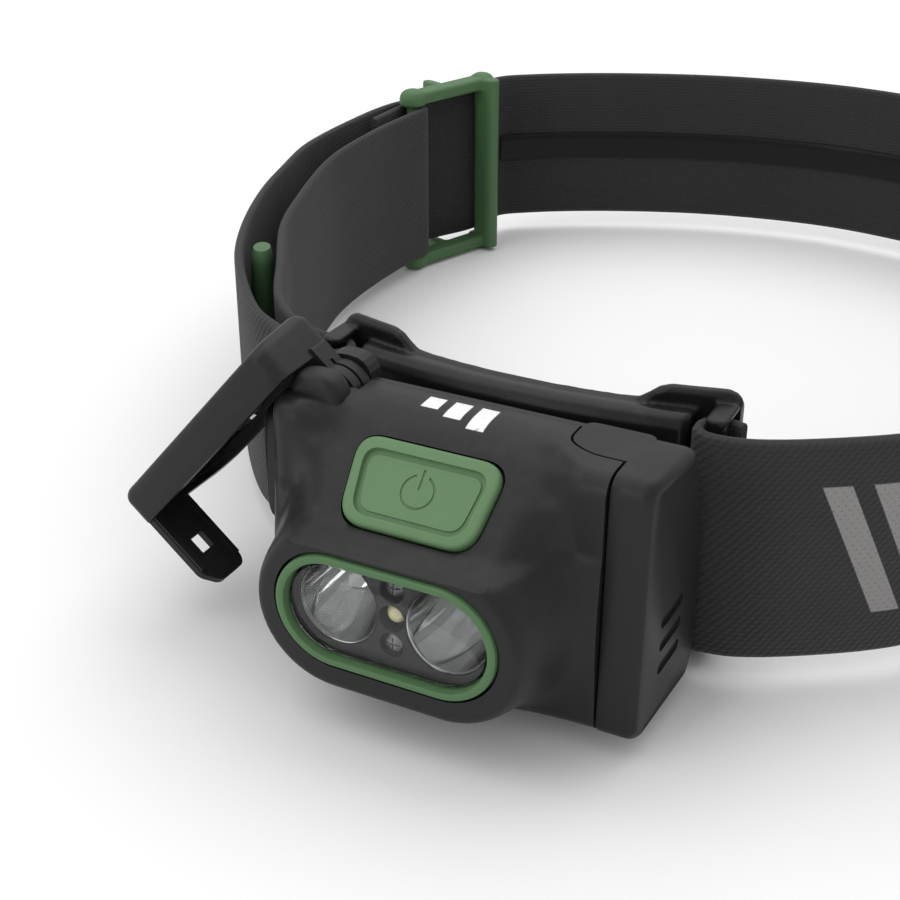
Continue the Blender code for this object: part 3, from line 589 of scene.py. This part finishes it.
def prism(outline, axis, low, high, bevel=0.0, segments=3):
    """Draw an outline, extrude it along an axis and round its edges."""
    turn = {"X": (1, 2, 0), "Y": (0, 2, 1), "Z": (0, 1, 2)}[axis]
    bm = bmesh.new()
    corners = []
    for point in outline:
        place = [0.0, 0.0, 0.0]
        place[turn[0]] = point[0]
        place[turn[1]] = point[1]
        place[turn[2]] = low
        corners.append(bm.verts.new(place))
    floor = bm.faces.new(corners)
    raised = bmesh.ops.extrude_face_region(bm, geom=[floor])["geom"]
    rise = [0.0, 0.0, 0.0]
    rise[turn[2]] = high - low
    bmesh.ops.translate(
        bm, vec=rise, verts=[item for item in raised if isinstance(item, bmesh.types.BMVert)]
    )
    bmesh.ops.recalc_face_normals(bm, faces=bm.faces)
    if bevel:
        rims = [edge for edge in bm.edges if edge.calc_face_angle(0.0) > 0.7]
        bmesh.ops.bevel(
            bm, geom=rims, offset=bevel, segments=segments, profile=0.5, affect="EDGES", material=-1
        )
    return bm


def turned(profile, axis, centre, steps=32):
    """Spin a profile of (radius, height) points right round an axis."""
    bm = bmesh.new()
    points = [bm.verts.new((radius, 0.0, height)) for radius, height in profile]
    edges = [bm.edges.new(pair) for pair in zip(points, points[1:])]
    bmesh.ops.spin(
        bm,
        geom=points + edges,
        cent=(0, 0, 0),
        axis=(0, 0, 1),
        angle=2 * math.pi,
        steps=steps,
        use_merge=True,
    )
    bmesh.ops.remove_doubles(bm, verts=bm.verts, dist=1e-5)
    bmesh.ops.holes_fill(bm, edges=[e for e in bm.edges if e.is_boundary], sides=0)
    turns = {"X": (90, "Y"), "Y": (-90, "X"), "Z": (0, "Z")}
    aim = Matrix.Rotation(math.radians(turns[axis][0]), 3, turns[axis][1])
    bmesh.ops.rotate(bm, verts=bm.verts, cent=(0, 0, 0), matrix=aim)
    bmesh.ops.translate(bm, vec=centre, verts=bm.verts)
    bmesh.ops.recalc_face_normals(bm, faces=bm.faces)
    return bm


def rod(radius, low, high, axis, centre, steps=32):
    return turned(((0.0, low), (radius, low), (radius, high), (0.0, high)), axis, centre, steps)


def block(low, high):
    outline = ((low[0], low[1]), (high[0], low[1]), (high[0], high[1]), (low[0], high[1]))
    return prism(outline, "Z", low[2], high[2])


def arc(centre, radius, first, last, count):
    return [
        (
            centre[0] + radius * math.cos(math.radians(first + (last - first) * step / (count - 1))),
            centre[1] + radius * math.sin(math.radians(first + (last - first) * step / (count - 1))),
        )
        for step in range(count)
    ]


def stadium(centre, half_width, half_height, count=24):
    """Outline with straight top and bottom and round ends."""
    run = half_width - half_height
    right = arc((centre[0] + run, centre[1]), half_height, -90, 90, count)
    left = arc((centre[0] - run, centre[1]), half_height, 90, 270, count)
    return right + left


def rounded(corners, radius, count=8):
    """Round every corner of an outline."""
    points = []
    for index, corner in enumerate(corners):
        here = Vector(corner)
        before = Vector(corners[index - 1]) - here
        after = Vector(corners[(index + 1) % len(corners)]) - here
        reach = min(radius, before.length * 0.48, after.length * 0.48)
        start = here + before.normalized() * reach
        end = here + after.normalized() * reach
        for step in range(count + 1):
            t = step / count
            point = start * (1 - t) ** 2 + here * 2 * t * (1 - t) + end * t**2
            points.append((point.x, point.y))
    return points


def smooth(value):
    value = min(max(value, 0.0), 1.0)
    return value * value * (3 - 2 * value)


def edge_round(distance, radius):
    """How far a rounded edge falls back at a distance from the edge."""
    if distance >= radius:
        return 0.0
    return radius - math.sqrt(max(radius**2 - (radius - distance) ** 2, 0.0))


bpy.data.materials.new("cut_face")


# ---------------------------------------------------------------- finishes of this lamp

case_black = case_plastic("case_black")
case_front = case_plastic("case_front", printed=True)
bracket_black = plastic(
    "bracket_black",
    (0.008, 0.008, 0.0085),
    (0.011, 0.011, 0.0115),
    (0.03, 0.03, 0.032),
    rough=(0.3, 0.38),
    dust=0.03,
)[0]
button_green = plastic(
    "button_green", (0.100, 0.190, 0.088), (0.122, 0.218, 0.106), (0.18, 0.28, 0.16), rough=(0.42, 0.55)
)[0]
fitting_green = plastic(
    "fitting_green", (0.066, 0.140, 0.060), (0.084, 0.170, 0.076), (0.14, 0.24, 0.13), rough=(0.4, 0.55)
)[0]
switch_black = plastic("switch_black", (0.012, 0.012, 0.012), (0.02, 0.02, 0.02), (0.05, 0.05, 0.05))[0]
carrier_black = plastic(
    "carrier_black",
    (0.008, 0.008, 0.008),
    (0.014, 0.014, 0.015),
    (0.04, 0.04, 0.04),
    rough=(0.16, 0.26),
    dust=0.03,
)[0]
pad_foam = rubbery("pad_foam", (0.008, 0.008, 0.009), (0.022, 0.022, 0.023), (0.75, 0.95), 2200.0, 0.7)
seal_rubber = rubbery("seal_rubber", (0.01, 0.01, 0.01), (0.02, 0.02, 0.02), (0.45, 0.65), 2600.0, 0.2)
grip_silicone = rubbery(
    "grip_silicone", (0.004, 0.004, 0.004), (0.007, 0.007, 0.007), (0.3, 0.42), 700.0, 0.25
)
pin_steel = metal("pin_steel", (0.42, 0.42, 0.42), (0.6, 0.6, 0.59))
contact_nickel = metal("contact_nickel", (0.55, 0.54, 0.5), (0.74, 0.73, 0.69), (0.14, 0.3))
window_clear = clear_window()
reflector_chrome = mirror_finish()
led_resin = resin_finish()
screw_dark = metal("screw_dark", (0.10, 0.10, 0.10), (0.20, 0.20, 0.20), (0.3, 0.45))
board_laminate = board_finish()
cell_wrap = cell_finish()


# ---------------------------------------------------------------- housing


def front_at(x, z):
    """Front surface of the housing: a flat box front, a sloped button face and the lens snout."""
    plain = FRONT + edge_round(TOP - z, 2.6) + edge_round(z - BOTTOM, 2.2)
    plain += edge_round(x + CORE_HALF, CORNER_RADIUS)
    slope = max(-24.7 - (31.2 - z) * 1.061, -34.8)
    if z > TOP - 2.2:
        reach = BROW_RADIUS - (TOP - z)
        slope = max(slope, -19.6 - math.sqrt(max(BROW_RADIUS**2 - reach**2, 0.0)))
    share = (1 - smooth((abs(x) - 11.0) / 7.5)) * smooth((z - 9.0) / 11.0)
    y = plain + share * (slope - plain)
    run = SNOUT_HALF[0] - SNOUT_HALF[1]
    away = math.hypot(max(abs(x) - run, 0.0), z - SNOUT_Z) - SNOUT_HALF[1]
    snout = 1.0 / (1.0 + (max(away, 0.0) / 2.4) ** 3)
    if z > 22.0:
        snout *= 1 - smooth((z - 22.0) / 1.4)
    return y + snout * (min(SNOUT_FRONT, y) - y) if y > SNOUT_FRONT else y


def shell_rings():
    """Side outlines of the front shell, one for each step across its width."""
    levels = [TOP - 2.6 * (1 - math.cos(math.radians(90 * step / 12))) for step in range(12)]
    levels += [30.4 - 28.7 * step / 72 for step in range(72)]
    levels += [1.7 - 2.2 * math.sin(math.radians(90 * step / 9)) for step in range(10)]
    back = [(-10.8, BOTTOM), (-9.9, 0.5), (-9.9, 10.3), (-15.0, 30.6), (-15.9, TOP - 0.6), (-16.8, TOP)]
    rings = []
    for step in range(97):
        x = -CORE_HALF + 2 * CORE_HALF * step / 96
        ring = [(x, front_at(x, z), z) for z in levels]
        rings.append(ring + [(x, y, z) for y, z in back])
    return rings


BUTTON_OUTLINE = rounded(((-9.4, 4.95), (-8.3, -5.9), (8.3, -5.9), (9.4, 4.95)), 3.2)
SEAT_OUTLINE = rounded(((-9.75, 5.25), (-8.6, -6.2), (8.6, -6.2), (9.75, 5.25)), 3.4)
HINGE_PLACE = (DOOR_AXIS[0], 0.0, DOOR_AXIS[1])

front_shell = finish_piece(
    loft(shell_rings()), "shell_front", case_front, "housing", ["front_shell"], angle=40
)
collar = rounded(((-24.2, 12.8), (-23.8, 29.8), (-17.6, 29.8), (-12.4, 12.8)), 5.0)
cut(front_shell, [cutter(prism(collar, "X", -24.6, -20.5, 1.1, 5))], "UNION")
lip_room = rounded(((14.0, -11.0), (14.0, -20.6), (17.6, -22.6), (26.0, -22.6), (26.0, -11.0)), 1.8)
swing_room = ((-22.0, 31.9), (-21.3, 31.9), (-20.7, 32.9), (-20.7, 34.0), (-22.0, 34.0))
openings = [cutter(rod(CELL_BORE, -25.0, 25.0, "X", (0, y, z), 40)) for y, z in CELLS]
openings += [
    cutter(prism(stadium((0, LENS_Z), 14.4, 7.65), "Y", -45.0, -36.0)),
    cutter(prism(stadium((0, LENS_Z), 13.7, 6.75), "Y", -40.0, -26.1)),
    cutter(prism(SEAT_OUTLINE, "Z", -2.5, 6.0), BUTTON),
    cutter(rod(3.1, -4.5, 0.0, "Z", (0, 0, 0)), BUTTON),
    cutter(block((-24.0, -19.9, 27.0), (-13.0, -11.8, 40.0))),
    cutter(block((-24.0, -26.6, -3.0), (-9.6, -18.4, 0.75))),
]
cut(front_shell, openings)
knuckle = rounded(((-20.9, 27.0), (-20.6, 35.6), (-13.5, 35.6), (-13.0, 27.0)), 3.5)
cut(
    front_shell,
    [
        cutter(prism(knuckle, "Y", -24.2, -20.2, 1.3, 5)),
        cutter(block((-16.4, -23.2, 0.5), (-14.8, -21.6, 1.5))),
    ],
    "UNION",
)
cut(
    front_shell,
    [
        cutter(rod(PIN_BORE, -23.0, -10.0, "Y", HINGE_PLACE)),
        cutter(prism(lip_room, "Z", 32.0, 36.0)),
        cutter(prism(swing_room, "Y", -30.0, -18.4)),
    ],
)


def end_section(inset=0.0):
    """Side outline of an end cap, pulled in by an inset."""
    corners = (
        (-10.6 - inset, BOTTOM + inset),
        (-8.4 - inset, 1.8 + inset * 0.6),
        (-8.4 - inset, 10.2),
        (-14.6 - inset, TOP - inset),
        (FRONT + 0.6 + inset, TOP - inset),
        (FRONT + inset, BOTTOM + inset + 1.0),
        (FRONT + 1.0 + inset, BOTTOM + inset),
    )
    return rounded(corners, 2.4 - 0.8 * inset, 6)


def end_cap(name, side, body, node_name, place):
    """A hollow end cap, rounded towards its outer face, which leans in at its front and back."""
    middle = Vector((-18.5, 16.0))
    stations = [(CORE_HALF + GAP, 0.994), (CORE_HALF + GAP + 0.15, 1.0), (24.0, 1.0), (END_HALF - 1.7, 1.0)]
    for step in range(1, 9):
        angle = math.radians(90 * step / 8)
        stations.append((END_HALF - 1.7 * (1 - math.sin(angle)), 1.0 - 0.075 * (1 - math.cos(angle))))
    rings = []
    for reach, shrink in stations:
        ring = []
        for y, z in end_section():
            point = middle + (Vector((y, z)) - middle) * shrink
            taper = max(0.0, point.x + 20.0) * 0.1 + max(0.0, -19.5 - point.x) * 0.2
            taper *= (reach - CORE_HALF) / 6.5
            ring.append((side * (reach - taper), point.x, point.y))
        rings.append(ring)
    cap = finish_piece(loft(rings), name, case_black, body, [node_name], place=place)
    hollow = prism(end_section(1.5), "X", min(side * 15.0, side * 25.7), max(side * 15.0, side * 25.7))
    return cut(cap, [cutter(hollow, place)])


right_cap = end_cap("cap_right", 1, "housing", "right_cap", HOUSING)
tab = rounded(((14.3, -15.2), (14.3, -20.4), (17.7, -22.3), (23.0, -22.3), (23.0, -15.2)), 1.6)
cut(right_cap, [cutter(prism(tab, "Z", 32.3, 33.0))], "UNION")
grooves = []
for low in (3.6, 6.8, 10.0):
    grooves.append(cutter(prism(stadium((-18.4, low + 3.0), 3.4, 0.8, 12), "X", 26.4, 29.5, 0.2)))
cut(right_cap, grooves)

door = end_cap("door_cover", -1, "door", "battery_door", DOOR)
door_arm = rounded(((-23.0, 30.9), (-17.0, 30.9), (-17.0, 33.4), (-23.0, 33.4)), 0.5)
barrel_groove = ((3.2, -18.05), (4.2, -18.15), (4.2, -17.55), (3.2, -17.65), (3.2, -18.05))
tongue_corners = ((-26.0, -26.2), (-12.2, -26.2), (-10.0, -24.2))
tongue_corners += ((-10.0, -19.6), (-11.0, -18.8), (-26.0, -18.8))
cut(
    door,
    [
        cutter(prism(door_arm, "Y", -19.4, -16.3), DOOR),
        cutter(rod(BARREL_RADIUS, -19.6, -16.1, "Y", HINGE_PLACE, 64), DOOR),
        cutter(prism(rounded(tongue_corners, 0.8), "Z", -0.6, 0.35), DOOR),
        cutter(block((-24.0, -26.1, 0.0), (-12.6, -25.2, 0.75)), DOOR),
        cutter(block((-24.0, -19.8, 0.0), (-11.6, -18.9, 0.75)), DOOR),
    ],
    "UNION",
)
cut(
    door,
    [
        cutter(rod(PIN_BORE, -30.0, 0.0, "Y", HINGE_PLACE), DOOR),
        cutter(turned(barrel_groove, "Y", HINGE_PLACE, 64), DOOR),
        cutter(block(*LATCH_WINDOW), DOOR),
    ],
)
for piece in (front_shell, right_cap, door):
    soften(piece, 0.00016)


# ---------------------------------------------------------------- button and lens


def power_button():
    """Push button with a raised rim, a sunken panel and an engraved on-off sign."""
    button = finish_piece(
        prism(BUTTON_OUTLINE, "Z", -1.7, 0.85, 0.55, 4), "button_cap", button_green, "button",
        ["power_button"], place=BUTTON,
    )
    panel = rounded(((-7.6, 3.1), (-6.6, -4.2), (6.6, -4.2), (7.6, 3.1)), 1.9)
    groove = rounded(((-8.0, 3.5), (-7.0, -4.6), (7.0, -4.6), (8.0, 3.5)), 2.2)
    island = rounded(((-7.3, 2.8), (-6.3, -3.9), (6.3, -3.9), (7.3, 2.8)), 1.7)
    cut(button, [cutter(prism(panel, "Z", 0.42, 3.0), BUTTON)])
    channel = finish_piece(prism(groove, "Z", 0.2, 1.4), "tool", button_green, None, place=BUTTON)
    cut(channel, [cutter(prism(island, "Z", -1.0, 3.0), BUTTON)])
    cut(button, [channel])
    sign = turned(((1.85, 0.24), (2.15, 0.24), (2.15, 2.0), (1.85, 2.0), (1.85, 0.24)), "Z", (0, -0.4, 0), 48)
    ring = finish_piece(sign, "tool", button_green, None, place=BUTTON)
    cut(ring, [cutter(block((-0.8, 0.4, -1.0), (0.8, 3.0, 4.0)), BUTTON)])
    upright = BUTTON @ Matrix.Translation((0, 1.1, 0)) @ Matrix.Rotation(math.radians(90), 4, "Z")
    bar = cutter(prism(stadium((0, 0), 1.25, 0.16, 8), "Z", 0.24, 2.0), upright)
    cut(button, [ring, bar])
    return soften(button, 0.00007, 2, 40)


power_button()

bezel_rings = []
outline = stadium((0, LENS_Z), 12.9, 6.25, 28)
section = [(0.0, -36.3), (0.0, -37.9), (0.15, -38.3), (0.4, -38.4)]
section += [(0.85, -38.4), (1.1, -38.25), (1.2, -37.9), (1.2, -36.3)]
wide = stadium((0, LENS_Z), 14.1, 7.3, 28)
for near, far in zip(outline, wide):
    ring = []
    for share, y in section:
        point = Vector(near).lerp(Vector(far), share / section[-1][0])
        ring.append((point.x, y, point.y))
    bezel_rings.append(ring)
bezel = loft(bezel_rings, loop=True)
finish_piece(bezel, "bezel_ring", fitting_green, "housing", ["lens_bezel"])
finish_piece(
    prism(stadium((0, LENS_Z), 12.6, 5.95), "Y", -37.6, -36.8, 0.2, 2),
    "window_pane", window_clear, "housing", ["lens_window"],
)

carrier = finish_piece(
    prism(stadium((0, LENS_Z), 13.4, 6.45), "Y", -35.9, -28.2, 0.25, 2),
    "lamp_carrier", carrier_black, "housing", ["lens_carrier"],
)
bowl_hole = ((0.0, -40.0), (5.1, -40.0), (5.1, -35.2), (2.7, -29.4), (2.7, -20.0), (0.0, -20.0))
screw_hole = ((0.0, -40.0), (1.5, -40.0), (1.5, -34.8), (0.9, -34.8), (0.9, -20.0), (0.0, -20.0))
holes = [cutter(turned(bowl_hole, "Y", (side * LENS_X, 0, LENS_Z), 48)) for side in (-1, 1)]
holes.append(cutter(rod(1.6, -40.0, -20.0, "Y", (0, 0, LENS_Z))))
holes += [cutter(turned(screw_hole, "Y", (0, 0, LENS_Z + lift))) for lift in (-3.4, 3.4)]
soften(cut(carrier, holes), 0.0001)


def bowl_profile():
    """Parabolic mirror with a rolled rim: inner skin down to the throat, outer skin back."""
    inner = [(1.6 + 3.2 * math.sqrt(step / 18), -29.9 - 5.8 * step / 18) for step in range(19)]
    rim = [(4.92, -35.8), (4.99, -35.65)]
    outer = [(radius + 0.28, height + 0.1) for radius, height in reversed(inner[:-3])]
    return inner + rim + outer + [inner[0]]


def dome_profile(radius, height, base, step=10):
    """Quarter of a dome that points forwards from a base level, from its tip to its rim."""
    angles = [math.radians(angle) for angle in range(0, 91, step)]
    return [(radius * math.sin(angle), base - height * math.cos(angle)) for angle in angles]


for side, word in ((-1, "left"), (1, "right")):
    place = (side * LENS_X, 0, LENS_Z)
    finish_piece(
        turned(bowl_profile(), "Y", place, 72), f"mirror_{word}", reflector_chrome, "housing",
        [f"reflector_{word}"], angle=60,
    )
    emitter = dome_profile(1.2, 1.2, -29.9) + [(1.35, -29.9), (1.35, -27.9), (0.0, -27.9)]
    finish_piece(
        turned(emitter, "Y", place, 32), f"emitter_{word}", led_resin, "housing",
        [f"led_{word}"], angle=50,
    )
small = dome_profile(1.2, 1.1, -34.4) + [(1.25, -28.0), (0.0, -28.0)]
finish_piece(
    turned(small, "Y", (0, 0, LENS_Z), 32), "emitter_centre", led_resin, "housing",
    ["led_centre"], angle=50,
)
screw_profile = dome_profile(1.25, 0.45, -35.15, 15)
screw_profile += [(1.25, -35.1), (0.6, -35.1), (0.6, -28.5), (0.0, -28.5)]
for lift, word in ((-3.4, "lower"), (3.4, "upper")):
    screw = finish_piece(
        turned(screw_profile, "Y", (0, 0, LENS_Z + lift), 32), f"screw_{word}", screw_dark,
        "housing", [f"lens_screw_{word}"],
    )
    slots = [
        cutter(block((-0.8, -36.0, LENS_Z + lift - 0.13), (0.8, -35.35, LENS_Z + lift + 0.13))),
        cutter(block((-0.13, -36.0, LENS_Z + lift - 0.8), (0.13, -35.35, LENS_Z + lift + 0.8))),
    ]
    cut(screw, slots)


# ---------------------------------------------------------------- bracket and slider


def moulded(node_name, name, material, body, grain, rounds):
    """A copy of a CAD piece with the soft fillets of a moulding."""
    source = nodes[node_name]
    bm = bmesh.new()
    bm.from_mesh(source.data)
    bmesh.ops.remove_doubles(bm, verts=bm.verts, dist=1e-6)
    mesh = bpy.data.meshes.new(name)
    bm.to_mesh(mesh)
    bm.free()
    obj = bpy.data.objects.new(name, mesh)
    bpy.context.scene.collection.objects.link(obj)
    mesh.materials.clear()
    mesh.materials.append(material)
    step = obj.modifiers.new("fine", "REMESH")
    step.mode = "VOXEL"
    step.voxel_size = grain
    step.use_smooth_shade = True
    relax = obj.modifiers.new("relax", "SMOOTH")
    relax.factor = 0.5
    relax.iterations = rounds
    apply_modifiers(obj, angle=180)
    obj.data.materials.clear()
    obj.data.materials.append(material)
    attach(obj, body)
    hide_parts(node_name)
    return obj


moulded("bracket", "forehead_bracket", bracket_black, "headband", 0.00026, 4)
moulded("strap_slider", "slider_frame", fitting_green, "headband", 0.00026, 10)


# ---------------------------------------------------------------- strap


def curve_through(points, spacing):
    """Points at an even spacing on a smooth curve through the given ones."""
    rows = [Vector(point) for point in points]
    rows = [rows[0] * 2 - rows[1]] + rows + [rows[-1] * 2 - rows[-2]]
    fine = []
    for index in range(1, len(rows) - 2):
        a, b, c, d = rows[index - 1 : index + 3]
        knots = [0.0]
        for first, second in ((a, b), (b, c), (c, d)):
            knots.append(knots[-1] + math.sqrt(max((second - first).length, 1e-6)))
        for step in range(24):
            t = knots[1] + (knots[2] - knots[1]) * step / 24
            ab = a.lerp(b, (t - knots[0]) / (knots[1] - knots[0]))
            bc = b.lerp(c, (t - knots[1]) / (knots[2] - knots[1]))
            cd = c.lerp(d, (t - knots[2]) / (knots[3] - knots[2]))
            abc = ab.lerp(bc, (t - knots[0]) / (knots[2] - knots[0]))
            bcd = bc.lerp(cd, (t - knots[1]) / (knots[3] - knots[1]))
            fine.append(abc.lerp(bcd, (t - knots[1]) / (knots[2] - knots[1])))
    fine.append(rows[-2])
    kept = [fine[0]]
    for point in fine[1:-1]:
        if (point - kept[-1]).length >= spacing:
            kept.append(point)
    kept.append(fine[-1])
    return kept


def band_rings(path, thick, low, high, shift, edge):
    """Cross-sections of a flat band that stands on edge along a path."""
    rings = []
    for index, point in enumerate(path):
        ahead = (path[min(index + 1, len(path) - 1)] - path[max(index - 1, 0)]).normalized()
        side = Vector((-ahead.y, ahead.x))
        half = thick / 2
        profile = [(-half * 0.45, low), (half * 0.45, low), (half, low + edge)]
        profile += [(half, low + (high - low) * share) for share in (0.25, 0.5, 0.75)]
        profile += [(half, high - edge), (half * 0.45, high), (-half * 0.45, high), (-half, high - edge)]
        profile += [(-half, low + (high - low) * share) for share in (0.75, 0.5, 0.25)]
        profile += [(-half, low + edge)]
        ring = []
        for offset, z in profile:
            place = point + side * (shift + offset)
            ring.append((place.x, place.y, z))
        rings.append(ring)
    return rings


FRONT_BAR = (-71.2, 100.6)
WRAP = POST_RADIUS + GAP + STRAP_THICK / 2
outer_run = [(-30.6, -5.6), (-36.0, -2.2), (-42.0, 1.6), (-54.4, 15.8), (-62.0, 28.4)]
outer_run += [(-69.4, 45.2), (-72.9, 56.5), (-76.2, 69.0), (-77.0, 78.0), (-77.0, 88.0)]
outer_run += [(-76.6, 96.0), (-75.4, 102.2), (-71.6, 110.3), (-67.4, 118.7), (-65.9, 128.8)]
back_run = [(-61.0, 133.4), (-48.2, 141.2), (-29.3, 149.2), (-13.5, 153.0), (0.0, 154.3)]
back_run += [(13.5, 153.0), (29.3, 149.2), (48.2, 141.2), (61.0, 129.5), (69.6, 114.5)]
back_run += [(74.2, 97.0), (75.2, 80.0), (73.2, 60.0), (67.8, 40.0), (58.6, 20.6), (49.8, 7.6)]
back_run += [(45.6, 3.6), (38.2, -1.6), (33.0, -4.6), (29.4, -6.0)]
route = [(-73.9, 90.0), (-73.7, 95.5)]
route += arc(FRONT_BAR, WRAP + 0.1, 160.0, -10.0, 6)
route += [(-69.2, 96.0), (-69.8, 84.0), (-68.5, 66.0), (-62.0, 44.3), (-57.4, 32.8)]
route += [(-49.3, 19.2), (-41.2, 6.4), (-35.0, 0.9), (-30.0, -1.3)]
route += arc((-POST[0], POST[1]), WRAP + 0.1, 80.0, -80.0, 6)
route += outer_run + back_run
route += arc(POST, WRAP + 0.1, -100.0, -260.0, 6)
route += [(27.4, -1.75), (28.8, -2.1)]
strap_path = curve_through(route, 1.1)
strap_lengths = [0.0]
for before, after in zip(strap_path, strap_path[1:]):
    strap_lengths.append(strap_lengths[-1] + (after - before).length)
print_index = min(range(len(strap_path)), key=lambda index: (strap_path[index] - Vector((57.0, 18.0))).length)
PRINT_START = strap_lengths[print_index] / 1000
strap_webbing = webbing_finish()

strap_rings = band_rings(strap_path, STRAP_THICK, 0.0, STRAP_WIDTH, 0.0, 0.5)
sections = len(strap_rings[0])
heights = [z / 1000 for x, y, z in strap_rings[0]]


def strap_uv(row, turn):
    return (strap_lengths[row] / 1000, heights[turn % sections])


bm = loft(strap_rings, uv=strap_uv)
strap = finish_piece(bm, "strap_band", strap_webbing, "headband", ["head_strap"], angle=60)
face_side = strap.data.attributes.new("face_side", "FLOAT", "FACE")
drawn_from_shared = HOUSING.inverted()
for polygon in strap.data.polygons:
    middle = (drawn_from_shared @ polygon.center).xy
    index = min(range(len(strap_path)), key=lambda step: (strap_path[step] - middle).length)
    ahead = strap_path[min(index + 1, len(strap_path) - 1)] - strap_path[max(index - 1, 0)]
    outward = Vector((-ahead.y, ahead.x))
    face_side.data[polygon.index].value = 1.0 if outward.dot(polygon.normal.xy) > 0 else 0.0

grip_path = curve_through(outer_run[-1:] + back_run[:-4], 1.6)
grip_rings = band_rings(grip_path, 0.5, 12.4, 17.6, -(STRAP_THICK / 2 + 0.26), 0.25)
finish_piece(
    loft(grip_rings), "grip_stripe_band", grip_silicone, "headband", ["grip_stripe"],
    angle=60,
)

lean = Vector((8.1, -13.6)).normalized()
across = Vector((-lean.y, lean.x))
keeper_middle = Vector((-55.9, 24.1))
keeper_rings = []
for step in range(25):
    share = step / 24
    z = 1.0 + 28.0 * share
    swell = 0.86 + 0.26 * math.sin(math.pi * share) - 0.5 * max(0.0, abs(share - 0.5) * 2 - 0.9) / 0.1 * 0.35
    ring = []
    for turn in range(36):
        angle = 2 * math.pi * turn / 36
        reach = lean * 3.0 * math.cos(angle) + across * 1.9 * math.sin(angle)
        point = keeper_middle + reach * swell
        ring.append((point.x, point.y, z))
    keeper_rings.append(ring)
finish_piece(
    loft(keeper_rings), "keeper_bar", fitting_green, "headband", ["strap_keeper"], angle=60
)


# ---------------------------------------------------------------- forehead pad


def bow(x):
    """How far the bracket curves back at x."""
    return x * x / 170.0


pad_rings = []
for step in range(49):
    x = -24.0 + step
    inset = edge_round(24.0 - abs(x), 3.0)
    fore = -2.0 + bow(x) + GAP
    crown = 2.6 - 0.9 * (abs(x) / 24.0) ** 6
    ring = []
    for turn in range(25):
        share = turn / 24
        bulge = crown * (1 - abs(2 * share - 1) ** 5) ** 0.6
        ring.append((x, fore + bulge, 2.0 + inset + (26.0 - 2 * inset) * share))
    pad_rings.append(ring)
pad = finish_piece(
    loft(pad_rings), "pad_cushion", pad_foam, "headband", ["forehead_pad"], angle=60
)


# ---------------------------------------------------------------- CAD pieces that keep their shape

FINISHES = {
    "rear_cover": case_black,
    "door_seal": seal_rubber,
    "door_pin": pin_steel,
    "tilt_pin": pin_steel,
    "cell_1": cell_wrap,
    "cell_2": cell_wrap,
    "door_contact": contact_nickel,
    "door_spring": contact_nickel,
    "cap_contact_1": contact_nickel,
    "cap_contact_2": contact_nickel,
    "cap_spring": contact_nickel,
    "button_switch": switch_black,
    "circuit_board": board_laminate,
}
for name, material in FINISHES.items():
    nodes[name].data.materials.clear()
    nodes[name].data.materials.append(material)


# ---------------------------------------------------------------- studio

floor_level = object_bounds()[0].z
bm = bmesh.new()
bmesh.ops.create_grid(bm, x_segments=1, y_segments=1, size=4.0)
bmesh.ops.translate(bm, vec=(0, 0, floor_level), verts=bm.verts)
floor_mesh = bpy.data.meshes.new("studio_floor")
bm.to_mesh(floor_mesh)
bm.free()
floor = bpy.data.objects.new("studio_floor", floor_mesh)
bpy.context.scene.collection.objects.link(floor)
pale = bpy.data.materials.new("floor_pale")
pale.use_nodes = True
pale.node_tree.nodes["Principled BSDF"].inputs["Base Color"].default_value = (0.88, 0.88, 0.88, 1.0)
pale.node_tree.nodes["Principled BSDF"].inputs["Roughness"].default_value = 0.8
floor_mesh.materials.append(pale)

world = bpy.data.worlds.new("studio")
bpy.context.scene.world = world
world.use_nodes = True
sky = world.node_tree.nodes["Background"]
sky.inputs["Color"].default_value = (1.0, 1.0, 1.0, 1.0)
sky.inputs["Strength"].default_value = 0.72


def softbox(name, place, target, size, power):
    lamp = bpy.data.lights.new(name, "AREA")
    lamp.shape = "RECTANGLE"
    lamp.size, lamp.size_y = size
    lamp.energy = power
    obj = bpy.data.objects.new(name, lamp)
    obj.location = place
    obj.rotation_euler = (Vector(target) - Vector(place)).to_track_quat("-Z", "Y").to_euler()
    bpy.context.scene.collection.objects.link(obj)
    return obj


softbox("key_box", (-0.4, -0.2, 0.75), (0, 0.03, 0), (0.8, 0.8), 2.4)
softbox("top_box", (0.0, 0.5, 0.85), (0, 0.12, 0), (1.0, 0.8), 3.4)
softbox("front_strip", (-0.25, -0.75, 0.3), (0, 0.0, 0.01), (0.12, 0.5), 0.9)

view = bpy.data.cameras.new("main_view")
view.lens = 62.76
view.sensor_width = 36.0
view.clip_start = 0.01
camera = bpy.data.objects.new("main_view", view)
camera.location = (0.0733, -0.1459, 0.1135)
camera.rotation_euler = (math.radians(62.25), 0.0, math.radians(27.27))
bpy.context.scene.collection.objects.link(camera)
bpy.context.scene.camera = camera
bpy.context.scene.view_settings.view_transform = "Standard"
